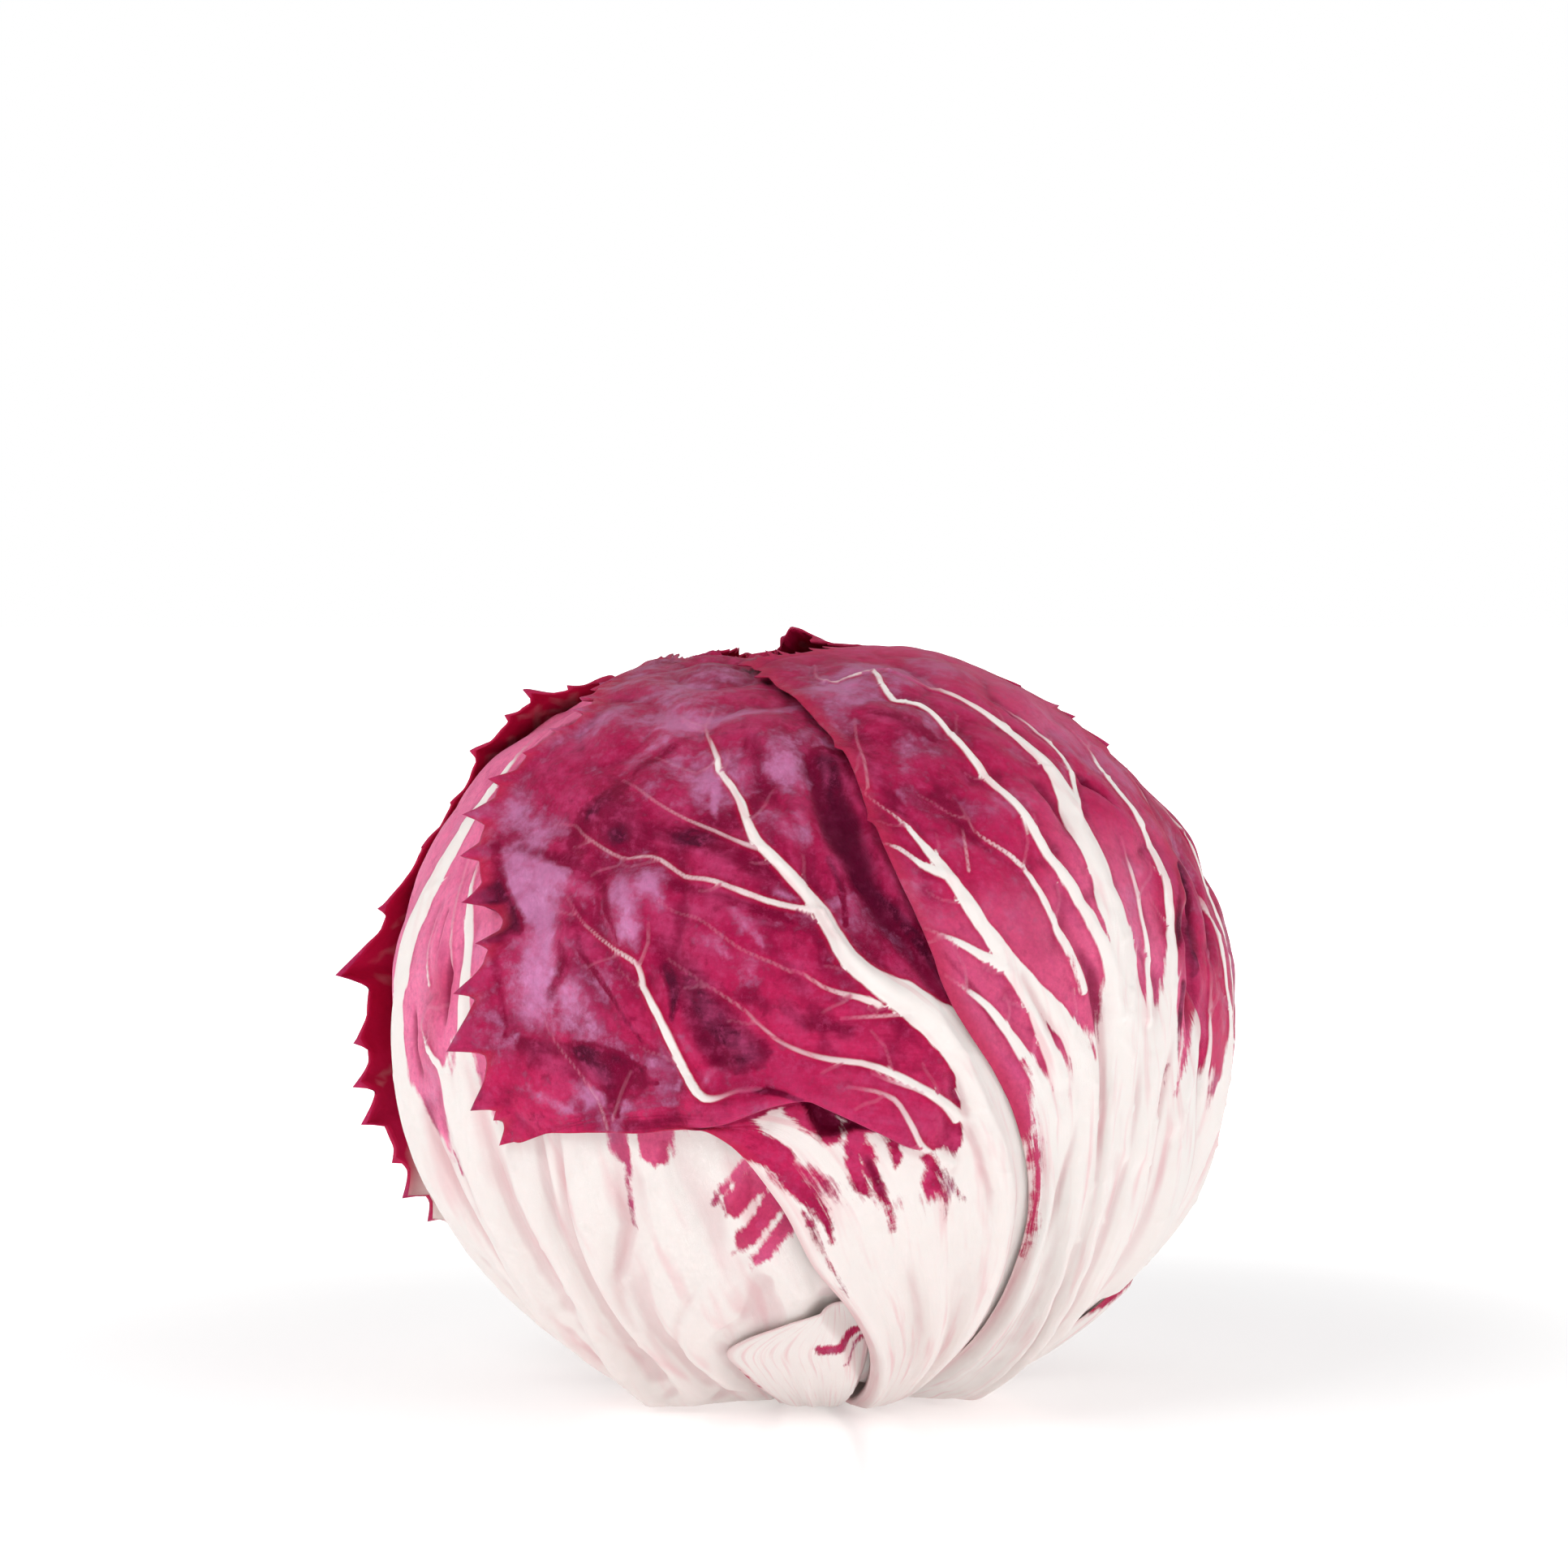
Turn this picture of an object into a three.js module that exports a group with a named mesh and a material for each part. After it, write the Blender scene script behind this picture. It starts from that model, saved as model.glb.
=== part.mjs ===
// A round radicchio head: toothed leaves wrapped one over another round a dense heart, on a short cut stem.
// Millimetres, +Z up. The origin is the middle of the stem's cut face, which the head stands on; -Y is its front.
// A place on the head is [turn, rise]: turn is the azimuth in degrees from the front, towards +X, and rise is
// the angle at the head's centre, from 0 straight down at the stem to 180 at the crown.
import * as THREE from "three";
import { mergeVertices } from "three/addons/utils/BufferGeometryUtils.js";

// The head.
const headRadius = 60;
const centreHeight = 54;
const crownDrop = 8.2; // how far the crown is flattened
const crownStartRise = 95;
const crownEndRise = 175;
const floorClearance = 0.6; // the lowest leaf bases stay this far above the cut face

// The stem.
const stemRadius = 10;
const stemTopRadius = 8;
const stemBevel = 0.8;
const stemSides = 32;

// A leaf. Its columns are closest beside the midrib; a bract or an inner leaf takes fewer.
const wideColumns = [-1, -0.82, -0.63, -0.45, -0.27, -0.09, 0, 0.09, 0.27, 0.45, 0.63, 0.82, 1];
const fewColumns = [-1, -0.7, -0.4, -0.12, 0, 0.12, 0.4, 0.7, 1];
const baseThickness = 1.9;
const bladeThickness = 0.9;
const leafGap = 0.45; // clear space between a leaf and the one under it
const fluteHeight = 1.1; // of the ribs that fan out of the base
const fluteEnd = 0.5; // share of the leaf's length at which they have sunk into the blade
const midribHeight = 1.3;
const sideRibHeight = 0.8;
const sideRibSpacing = 6; // rows from one side rib to the next
const toothLength = 3.6;
const toothStart = 0.42; // share of the leaf's length below which its edge is smooth
const crinkle = 0.5;
const packCell = 0.065; // size of a cell of directions, as a share of the head's radius
const packSteps = 4; // samples across each facet when leaves are packed

// The heart.
const heartRadius = 47;
const heartTop = 6.5;
const heartLeaves = 5;
const heartStep = 1.6; // each leaf of the heart stands this far over the next
const heartRings = 18;
const heartSides = 30;
const heartBottomRise = 17;

const leafColour = 0x9c1f4b;
const baseColour = 0xf0e6e2;

const radians = THREE.MathUtils.degToRad;
const smoothstep = THREE.MathUtils.smoothstep;
const lerp = THREE.MathUtils.lerp;

// Unit vector from the head's centre to a place [turn, rise].
function direction([turn, rise]) {
  const around = radians(turn);
  const up = radians(rise);
  return new THREE.Vector3(Math.sin(up) * Math.sin(around), -Math.sin(up) * Math.cos(around), -Math.cos(up));
}

// Radius of the head's skin in a direction: a sphere with a flattened crown.
function skinRadius(towards) {
  const rise = THREE.MathUtils.radToDeg(Math.acos(-towards.z));
  return headRadius - crownDrop * smoothstep(rise, crownStartRise, crownEndRise);
}

// The largest radius that stays above the surface the head stands on.
function floorRadius(towards) {
  return towards.z < -0.2 ? (centreHeight - floorClearance) / -towards.z : Infinity;
}

function placed(towards, radius) {
  return towards.clone().multiplyScalar(radius).add(new THREE.Vector3(0, 0, centreHeight));
}

// The leaves, outermost first. Each row of a leaf holds three places across it, at one step up its length:
// left edge, midrib, right edge, as seen from outside. lift is how far each of the three stands off the skin, and
// flare how far the right edge, or the whole tip, is turned outwards at each row. reach is for roomUnder below.
const leaves = [
  {
    name: "right_bract",
    rows: [
      [[64, 16], [82, 16], [100, 16]],
      [[61, 34], [82, 34], [106, 34]],
      [[65, 45], [84, 46], [107, 45]],
      [[75, 51], [86, 54], [100, 51]],
    ],
    lift: [0.8, 1.2, 0.8],
    columns: fewColumns,
    lengths: 8,
    toothed: false,
    colour: baseColour,
  },
  {
    name: "right_leaf",
    rows: [
      [[34, 15], [56, 14], [78, 15]],
      [[36, 44], [48, 44], [76, 44]],
      [[35, 60], [43.5, 60], [70, 60]],
      [[32, 75], [42.5, 76], [65, 76]],
      [[24.5, 89], [43, 90], [61.5, 90]],
      [[17, 101], [44.5, 102], [62, 103]],
      [[11, 115], [46.5, 116], [68, 118]],
      [[8, 128], [46.5, 129], [75, 129]],
      [[2, 140], [43, 141], [81, 141]],
      [[-8, 151], [35, 152], [86, 152]],
      [[-24, 160], [18, 162], [90, 161]],
      [[-46, 165], [-14, 172], [92, 170]],
    ],
    lift: [1.2, 0.3, 0.9],
    columns: wideColumns,
    lengths: 36,
    toothed: true,
    colour: leafColour,
  },
  {
    name: "front_leaf",
    rows: [
      [[4, 15], [24, 14], [46, 15]],
      [[11, 42], [28, 44], [49, 44]],
      [[0, 61], [27.5, 64], [46, 66]],
      [[-9, 76.5], [25, 77], [42, 80]],
      [[-24, 80.3], [20.3, 88.5], [35, 92]],
      [[-46, 79], [7.5, 100.8], [25, 106]],
      [[-52, 92], [-1, 110.5], [19.5, 118]],
      [[-53, 106], [-9, 120], [16.5, 130]],
      [[-61, 119], [-20, 134], [10.5, 145]],
      [[-71, 132], [-33, 147], [-2, 160]],
      [[-83, 143], [-54, 157], [-40, 170]],
      [[-108, 153], [-104, 162], [-122, 172]],
    ],
    lift: [1.6, 0.4, -0.6],
    columns: wideColumns,
    lengths: 36,
    toothed: true,
    colour: leafColour,
  },
  {
    name: "left_back_leaf",
    rows: [
      [[-165, 15], [-132, 14], [-100, 15]],
      [[-170, 42], [-132, 44], [-101, 44]],
      [[-174, 58], [-134, 60], [-98, 58]],
      [[-178, 74], [-136, 76], [-96, 72]],
      [[-181, 92], [-138, 92], [-95, 88]],
      [[-182, 108], [-139, 108], [-94, 104]],
      [[-182, 122], [-139, 124], [-92, 120]],
      [[-178, 136], [-136, 138], [-88, 132]],
      [[-170, 149], [-130, 152], [-85, 143]],
      [[-150, 160], [-122, 163], [-98, 155]],
    ],
    lift: [1.2, 0.4, 1.4],
    flare: { side: [0, 0, 1.5, 5, 5, 3, 0.4, 2.6, 2.8, 0] },
    columns: wideColumns,
    lengths: 34,
    toothed: true,
    colour: leafColour,
  },
  {
    name: "back_leaf",
    rows: [
      [[124, 15], [164, 14], [202, 15]],
      [[124, 42], [164, 44], [203, 42]],
      [[120, 60], [164, 62], [206, 60]],
      [[117, 78], [166, 80], [212, 78]],
      [[114, 96], [168, 98], [216, 96]],
      [[113, 112], [170, 114], [217, 112]],
      [[113, 128], [172, 130], [216, 128]],
      [[112, 143], [172, 146], [216, 143]],
      [[112, 155], [170, 160], [220, 156]],
      [[122, 167], [168, 175], [228, 168]],
    ],
    lift: [1.2, 0.2, 0],
    flare: { tip: [0, 0, 0, 0, 0, 0, 0, 0, 0, 3.4] },
    columns: wideColumns,
    lengths: 34,
    toothed: true,
    colour: leafColour,
  },
  {
    name: "right_back_leaf",
    rows: [
      [[66, 15], [98, 14], [132, 15]],
      [[58, 42], [96, 44], [134, 42]],
      [[52, 60], [97, 62], [138, 62]],
      [[50, 78], [100, 78], [142, 78]],
      [[49, 94], [102, 92], [146, 94]],
      [[52, 110], [104, 108], [149, 110]],
      [[56, 124], [104, 124], [150, 124]],
      [[58, 138], [102, 140], [148, 140]],
      [[60, 150], [100, 152], [144, 154]],
      [[72, 161], [98, 165], [140, 164]],
    ],
    lift: [0, 0.4, 0],
    columns: wideColumns,
    lengths: 34,
    toothed: true,
    colour: leafColour,
  },
  {
    name: "front_bract",
    rows: [
      [[-16, 16], [0, 16], [16, 16]],
      [[-15, 32], [0, 32], [17, 32]],
      [[-17, 41], [0, 43], [18, 42]],
      [[-12, 47], [-2, 52], [10, 54]],
    ],
    lift: [0.8, 0.9, 0.6],
    columns: fewColumns,
    lengths: 8,
    toothed: false,
    colour: baseColour,
  },
  {
    name: "left_leaf",
    rows: [
      [[-108, 15], [-44, 14], [12, 15]],
      [[-114, 42], [-40, 44], [22, 42]],
      [[-116, 58], [-40, 60], [20, 57]],
      [[-118, 74], [-42, 76], [14, 72]],
      [[-118, 90], [-46, 92], [6, 86]],
      [[-117, 106], [-50, 108], [-4, 100]],
      [[-114, 122], [-54, 124], [-12, 116]],
      [[-106, 136], [-58, 140], [-20, 134]],
      [[-92, 148], [-68, 151], [-40, 149]],
    ],
    lift: [0, 0, 0],
    columns: wideColumns,
    lengths: 34,
    toothed: true,
    colour: leafColour,
  },
  ...[1, 2, 3, 4].map((count) => innerLeaf(count)),
];

// An inner leaf: one of four, a quarter turn apart, that cross over the crown.
function innerLeaf(count) {
  const turn = 90 * count - 60;
  const steps = [[14, 30], [44, 46], [70, 60], [95, 66], [120, 64], [145, 58], [164, 50]];
  return {
    name: `inner_leaf_${count}`,
    rows: steps.map(([rise, half]) => [[turn - half, rise], [turn, rise + 1], [turn + half, rise]]),
    lift: [-2, -2.4, -2.8],
    columns: fewColumns,
    lengths: 18,
    reach: 2,
    toothed: true,
    colour: leafColour,
  };
}

// The leaf's blade as a grid of its outer points. u runs across from -1 to 1 and v up from 0 to 1.
function bladeGrid(leaf) {
  const edges = [0, 1, 2].map(
    (k) => new THREE.CatmullRomCurve3(leaf.rows.map((row) => direction(row[k])), false, "catmullrom", 0.5),
  );
  const grid = [];
  for (let j = 0; j <= leaf.lengths; j++) {
    const v = j / leaf.lengths;
    const [left, mid, right] = edges.map((edge) => edge.getPoint(v).normalize());
    const row = leaf.columns.map((u, i) => {
      const side = u < 0 ? left : right;
      const reach = Math.abs(u) + edgeTooth(leaf, u, j, v) / (side.distanceTo(mid) * headRadius);
      const towards = mid.clone().multiplyScalar(1 - reach).addScaledVector(side, reach).normalize();
      if (j === leaf.lengths) tipTooth(leaf, i, towards, grid[j - 1][i].towards);
      return { towards, radius: skinRadius(towards) + lifted(leaf, i, j), thickness: thickness(u, v) };
    });
    grid.push(row);
  }
  return grid;
}

// Every second row of a toothed edge reaches out in a point, longer further up the leaf.
function edgeTooth(leaf, u, j, v) {
  if (!leaf.toothed || Math.abs(u) < 1 || j % 2 === 0) return 0;
  return toothLength * smoothstep(v, toothStart - 0.15, toothStart + 0.15);
}

// Every second point of the tip reaches out too, away from the row below it.
function tipTooth(leaf, i, towards, below) {
  if (!leaf.toothed || i % 2 === 0) return;
  const onward = towards.clone().sub(below).normalize();
  towards.addScaledVector(onward, toothLength / headRadius).normalize();
}

// How far the blade's outer face stands off the skin: its lift, ribs and crinkles, and any flare with its teeth.
function lifted(leaf, i, j) {
  const u = leaf.columns[i];
  const v = j / leaf.lengths;
  const [left, mid, right] = leaf.lift;
  const lift = u < 0 ? lerp(mid, left, -u) : lerp(mid, right, u);
  const wave = crinkle * Math.sin(9 * u + 4 * v) * Math.sin(17 * v + 3 * u);
  const flare = flared(leaf.flare, u, v);
  return lift + ribs(leaf, i, j, v) + wave + flare + edgeTooth(leaf, u, j, v) * smoothstep(flare, 0.5, 4);
}

// The midrib's ridge, the side ribs that climb one row at each column away from it, and the base's flutes.
function ribs(leaf, i, j, v) {
  const away = Math.abs(i - midColumn(leaf));
  const midrib = away === 0 ? midribHeight * (1 - 0.6 * v) : 0;
  if (!leaf.toothed) return midrib;
  const onSideRib = away > 0 && (j - away + sideRibSpacing) % sideRibSpacing === 0;
  const flute = away % 2 === 0 ? fluteHeight * (1 - smoothstep(v, 0.1, fluteEnd)) : 0;
  return midrib + flute + (onSideRib ? sideRibHeight * smoothstep(v, 0.3, 0.6) : 0);
}

function midColumn(leaf) {
  return (leaf.columns.length - 1) / 2;
}

// A flare's height at v along the leaf, from the values at its rows; a side flare fades out away from the edge.
function flared(flare, u, v) {
  if (!flare) return 0;
  const heights = flare.side ?? flare.tip;
  const at = v * (heights.length - 1);
  const below = Math.min(Math.floor(at), heights.length - 2);
  const height = lerp(heights[below], heights[below + 1], at - below);
  return height * (flare.side ? smoothstep(u, 0.7, 1) : 1 - 0.6 * Math.abs(u));
}

// Fleshy at the base and along the midrib, thin at the edges.
function thickness(u, v) {
  const flesh = (1 - smoothstep(v, 0, 0.7)) * (1 - 0.5 * Math.abs(u));
  return lerp(bladeThickness, baseThickness, flesh);
}

// Packing. A ceiling keeps, for each cell of directions, the lowest underside of the leaves packed so far.
const ceiling = new Map();
const cellOf = (towards) => towards.toArray().map((x) => Math.round(x / packCell));

// The largest radius that stays a gap under the leaves packed so far, from a direction's cell and those up to
// reach cells away.
function roomUnder(towards, reach = 1) {
  const [x, y, z] = cellOf(towards);
  let room = floorRadius(towards);
  for (let dx = -reach; dx <= reach; dx++)
    for (let dy = -reach; dy <= reach; dy++)
      for (let dz = -reach; dz <= reach; dz++) {
        const under = ceiling.get(`${x + dx},${y + dy},${z + dz}`);
        if (under !== undefined) room = Math.min(room, under - leafGap);
      }
  return room;
}

// Adds a blade's underside to the ceiling, from samples across each facet.
function addToCeiling(grid) {
  const undersides = grid.map((row) => row.map((p) => p.towards.clone().multiplyScalar(p.radius - p.thickness)));
  for (let j = 0; j + 1 < grid.length; j++)
    for (let i = 0; i + 1 < grid[j].length; i++)
      for (let a = 0; a <= packSteps; a++)
        for (let b = 0; b <= packSteps; b++) {
          const low = undersides[j][i].clone().lerp(undersides[j][i + 1], a / packSteps);
          const high = undersides[j + 1][i].clone().lerp(undersides[j + 1][i + 1], a / packSteps);
          const point = low.lerp(high, b / packSteps);
          const radius = point.length();
          const key = cellOf(point.normalize()).join();
          ceiling.set(key, Math.min(ceiling.get(key) ?? Infinity, radius));
        }
}

// Two alike grids of points, outer and inner, joined round their rim into one closed solid. The facets' diagonals
// climb away from the middle column, as the side ribs do.
function shell(outer, inner) {
  const rows = outer.length;
  const across = outer[0].length;
  const points = [...outer.flat(), ...inner.flat()];
  const at = (face, j, i) => face * rows * across + j * across + i;
  const index = [];
  const quad = (a, b, c, d) => index.push(a, b, c, a, c, d);
  for (let j = 0; j + 1 < rows; j++)
    for (let i = 0; i + 1 < across; i++)
      for (const face of [0, 1]) {
        const corners = [at(face, j, i), at(face, j, i + 1), at(face, j + 1, i + 1), at(face, j + 1, i)];
        if (i + 1 <= (across - 1) / 2) corners.push(corners.shift());
        if (face === 1) corners.splice(1, 3, corners[3], corners[2], corners[1]);
        quad(...corners);
      }
  for (let j = 0; j + 1 < rows; j++) {
    quad(at(1, j, 0), at(0, j, 0), at(0, j + 1, 0), at(1, j + 1, 0));
    quad(at(0, j, across - 1), at(1, j, across - 1), at(1, j + 1, across - 1), at(0, j + 1, across - 1));
  }
  for (let i = 0; i + 1 < across; i++) {
    quad(at(1, 0, i), at(1, 0, i + 1), at(0, 0, i + 1), at(0, 0, i));
    quad(at(0, rows - 1, i), at(0, rows - 1, i + 1), at(1, rows - 1, i + 1), at(1, rows - 1, i));
  }
  return geometryOf(points, index);
}

function geometryOf(points, index) {
  const geometry = new THREE.BufferGeometry().setFromPoints(points);
  geometry.setIndex(index);
  return mergeVertices(geometry);
}

// The next leaf, pushed in wherever one packed before it lies over it.
function leafGeometry(leaf) {
  const grid = bladeGrid(leaf);
  for (const point of grid.flat()) point.radius = Math.min(point.radius, roomUnder(point.towards, leaf.reach));
  addToCeiling(grid);
  const face = (depth) => grid.map((row) => row.map((p) => placed(p.towards, p.radius - depth * p.thickness)));
  return shell(face(0), face(1));
}

// The heart: a solid ball whose skin steps down from one folded leaf to the next, all the way round.
function heartGeometry() {
  const points = [];
  for (let j = 1; j < heartRings; j++)
    for (let i = 0; i < heartSides; i++) {
      const rise = lerp(heartBottomRise, 180, j / heartRings);
      const turn = (360 * i) / heartSides;
      const overlap = (heartLeaves * (turn + 0.4 * rise)) / 360;
      const towards = direction([turn, rise]);
      const step = heartStep * (1 - (overlap % 1)) * Math.sin(radians(rise));
      const radius = heartRadius - heartTop * smoothstep(rise, crownStartRise, crownEndRise) + step;
      points.push(placed(towards, Math.min(radius, roomUnder(towards))));
    }
  const heartBase = Math.max(...points.slice(0, heartSides).map((point) => point.z));
  const lowest = new THREE.Vector3(0, 0, heartBase);
  const crown = direction([0, 180]);
  const highest = placed(crown, Math.min(heartRadius - heartTop, roomUnder(crown)));
  points.push(lowest, highest);
  const [bottom, top] = [points.length - 2, points.length - 1];
  const index = [];
  const rings = heartRings - 1;
  for (let i = 0; i < heartSides; i++) {
    const next = (i + 1) % heartSides;
    for (let j = 0; j + 1 < rings; j++) {
      const [a, b] = [j * heartSides + i, j * heartSides + next];
      index.push(a, b, b + heartSides, a, b + heartSides, a + heartSides);
    }
    index.push(bottom, next, i);
    index.push(top, (rings - 1) * heartSides + i, (rings - 1) * heartSides + next);
  }
  return geometryOf(points, index);
}

// The cut stem: a short stump, tapering up to just under the heart, with a small bevel round its cut face.
function stemGeometry(top) {
  const outline = [[0, 0], [stemRadius - stemBevel, 0], [stemRadius, stemBevel], [stemTopRadius, top], [0, top]];
  const lathe = new THREE.LatheGeometry(outline.map(([x, y]) => new THREE.Vector2(x, y)), stemSides);
  lathe.deleteAttribute("normal");
  lathe.deleteAttribute("uv");
  return mergeVertices(lathe.rotateX(Math.PI / 2));
}

function node(name, geometry, color) {
  const mesh = new THREE.Mesh(geometry, new THREE.MeshStandardMaterial({ color, roughness: 0.45, metalness: 0 }));
  mesh.name = name;
  return mesh;
}

const head = new THREE.Group();
for (const leaf of leaves) head.add(node(leaf.name, leafGeometry(leaf), leaf.colour));
const heart = heartGeometry();
heart.computeBoundingBox();
head.add(node("heart", heart, leafColour));
head.add(node("cut_stem", stemGeometry(heart.boundingBox.min.z - leafGap), baseColour));

export default head;
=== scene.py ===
# A round radicchio head on a pale floor: every leaf is a grid of two parameters wrapped on the head.
import math

import bpy
import numpy as np
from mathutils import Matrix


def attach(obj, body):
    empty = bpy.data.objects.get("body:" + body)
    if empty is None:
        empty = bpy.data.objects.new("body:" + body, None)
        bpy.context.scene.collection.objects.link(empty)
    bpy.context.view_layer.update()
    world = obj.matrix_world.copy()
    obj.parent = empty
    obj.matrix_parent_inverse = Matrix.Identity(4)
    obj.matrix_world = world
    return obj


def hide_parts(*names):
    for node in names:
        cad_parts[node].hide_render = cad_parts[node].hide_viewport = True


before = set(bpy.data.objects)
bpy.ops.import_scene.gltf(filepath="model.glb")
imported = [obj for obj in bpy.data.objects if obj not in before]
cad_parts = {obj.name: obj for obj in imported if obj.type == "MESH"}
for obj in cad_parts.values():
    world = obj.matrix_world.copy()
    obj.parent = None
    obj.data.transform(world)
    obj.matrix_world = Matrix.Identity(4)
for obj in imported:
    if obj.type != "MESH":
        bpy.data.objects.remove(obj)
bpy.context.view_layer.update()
print("frame loaded:", len(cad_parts), "nodes")

mm = 0.001
head = {
    "radius": 60.0,
    "centreHeight": 54.0,
    "crownDrop": 8.2,        # how far the crown is flattened
    "crownStart": 95.0,      # rises, in degrees up from the stem
    "crownEnd": 175.0,
    "baseDrop": 3.0,         # and how far the base is drawn in, from this rise down
    "baseEnd": 70.0,
    "floorClearance": 0.7,   # the lowest leaf bases stay this far over the floor
    "leafGap": 0.3,          # between a leaf and the one under it
}


def smooth(x, low, high):
    # 0 below low, 1 above high, an S curve between
    t = np.clip((x - low) / (high - low), 0, 1)
    return t * t * (3 - 2 * t)


def mix(a, b, t):
    return a + (b - a) * t


def direction(turn, rise):
    # unit vector from the head's centre; turn is from the front towards +X, rise is up from the stem
    around, up = np.radians(turn), np.radians(rise)
    return np.stack([np.sin(up) * np.sin(around), -np.sin(up) * np.cos(around), -np.cos(up)], axis=-1)


def unit(vectors):
    return vectors / np.linalg.norm(vectors, axis=-1, keepdims=True)


def riseOf(towards):
    return np.degrees(np.arccos(np.clip(-towards[..., 2], -1, 1)))


def turnOf(towards):
    return np.degrees(np.arctan2(towards[..., 0], -towards[..., 1]))


def newObject(name, data):
    made = bpy.data.objects.new(name, data)
    bpy.context.scene.collection.objects.link(made)
    return made


def skinRadius(towards):
    # a sphere whose crown is pressed down by an S curve of the rise, and its base drawn in by another
    rise = riseOf(towards)
    base = head["baseDrop"] * (1 - smooth(rise, 22, head["baseEnd"]))
    return head["radius"] - head["crownDrop"] * smooth(rise, head["crownStart"], head["crownEnd"]) - base


def splineThrough(points, at):
    # Catmull-Rom curve through points[0], points[1], ... read at the positions in at
    last = len(points) - 1
    k = np.clip(np.floor(at).astype(int), 0, last - 1)
    t = (at - k)[:, None]
    p0, p1 = points[np.maximum(k - 1, 0)], points[k]
    p2, p3 = points[k + 1], points[np.minimum(k + 2, last)]
    return 0.5 * (2 * p1 + (p2 - p0) * t + (2 * p0 - 5 * p1 + 4 * p2 - p3) * t ** 2
                  + (3 * p1 - p0 - 3 * p2 + p3) * t ** 3)


def drawnLine(places, count):
    # the smooth curve through a line's places, its steps' lengths, and how far along it each point is
    turns, rises = np.array(places, float).T
    knots = direction(turns, rises)
    line = unit(splineThrough(knots, np.linspace(0, len(knots) - 1, count)))
    steps = np.linalg.norm(np.diff(line, axis=0), axis=1)
    return line, steps, np.concatenate([[0], np.cumsum(steps)]) / steps.sum()


def crumple(towards, size, seed, waves=14):
    # a smooth random swell, about -1 to 1: plane waves of about one length, summed over random directions
    rng = np.random.default_rng(seed)
    along = unit(rng.normal(size=(waves, 3)))
    pace = 2 * math.pi * head["radius"] / size * rng.uniform(0.7, 1.4, waves)
    phase = rng.uniform(0, 2 * math.pi, waves)
    total = np.zeros(towards.shape[:-1])
    for k in range(waves):
        total += np.sin(towards @ (along[k] * pace[k]) + phase[k])
    return total / math.sqrt(waves) / 1.3


def strokeField(towards, strokes, spacing=0.4):
    # For lines drawn on the head: the distance in mm outside the nearest line's edge, that line's half
    # width, and the lines' summed height. A line narrows from wide to fine; its height falls off as a bell
    # of the distance.
    shape = towards.shape[:-1]
    towards = towards.reshape(-1, 3)
    gap = np.full(len(towards), 20.0)
    halfNear = np.zeros(len(towards))
    height = np.zeros(len(towards))
    uneven = 1 + 0.1 * crumple(towards, 4.5, 5, 8)
    finest = 0.25 + 1.6 * max(spacing - 0.5, 0)  # the grid holds no finer line; its strength is set instead
    for stroke in strokes:
        line, steps, share = drawnLine(stroke["line"], (len(stroke["line"]) - 1) * 2 + 1)
        centre = unit(line.mean(0))
        extent = np.linalg.norm(line - centre, axis=1).max()
        close = np.flatnonzero(np.linalg.norm(towards - centre, axis=1) < extent + 0.3)
        spot = towards[close]
        wide, fine = stroke["wide"], stroke["fine"]
        near = np.full(len(spot), 20.0)
        nearHalf = np.zeros(len(spot))
        bump = np.zeros(len(spot))
        for k in range(len(line) - 1):
            a, b = line[k], line[k + 1]
            t = np.clip((spot - a) @ (b - a) / (steps[k] ** 2), 0, 1)
            distance = np.linalg.norm(spot - a - t[:, None] * (b - a), axis=1) * head["radius"]
            s = share[k] + (share[k + 1] - share[k]) * t
            half = mix(wide, fine, s ** stroke.get("taper", 1.0)) * uneven[close]
            half = half * (1 - 0.85 * smooth(s, 0.8, 1))
            if stroke.get("pointed"):
                half = half * smooth(s, 0, 0.3)
            strength = mix(stroke.get("high", 0.0), stroke.get("low", 0.0), s)
            if stroke.get("sunk"):
                strength = strength * smooth(s, 0, 0.3) * (1 - smooth(s, 0.6, 1))
            drawn = np.maximum(half, finest)
            nearHalf = np.where(distance - drawn < near, half, nearHalf)
            near = np.minimum(near, distance - drawn)
            reach = np.maximum(half * stroke.get("spread", 1.0), 0.35)
            bell = np.exp(-(distance / reach) ** 2 * 0.8)
            bump = np.maximum(bump, bell * strength)
        halfNear[close] = np.where(near < gap[close], nearHalf, halfNear[close])
        gap[close] = np.minimum(gap[close], near)
        height[close] += bump
    return gap.reshape(shape), halfNear.reshape(shape), height.reshape(shape)


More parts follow.
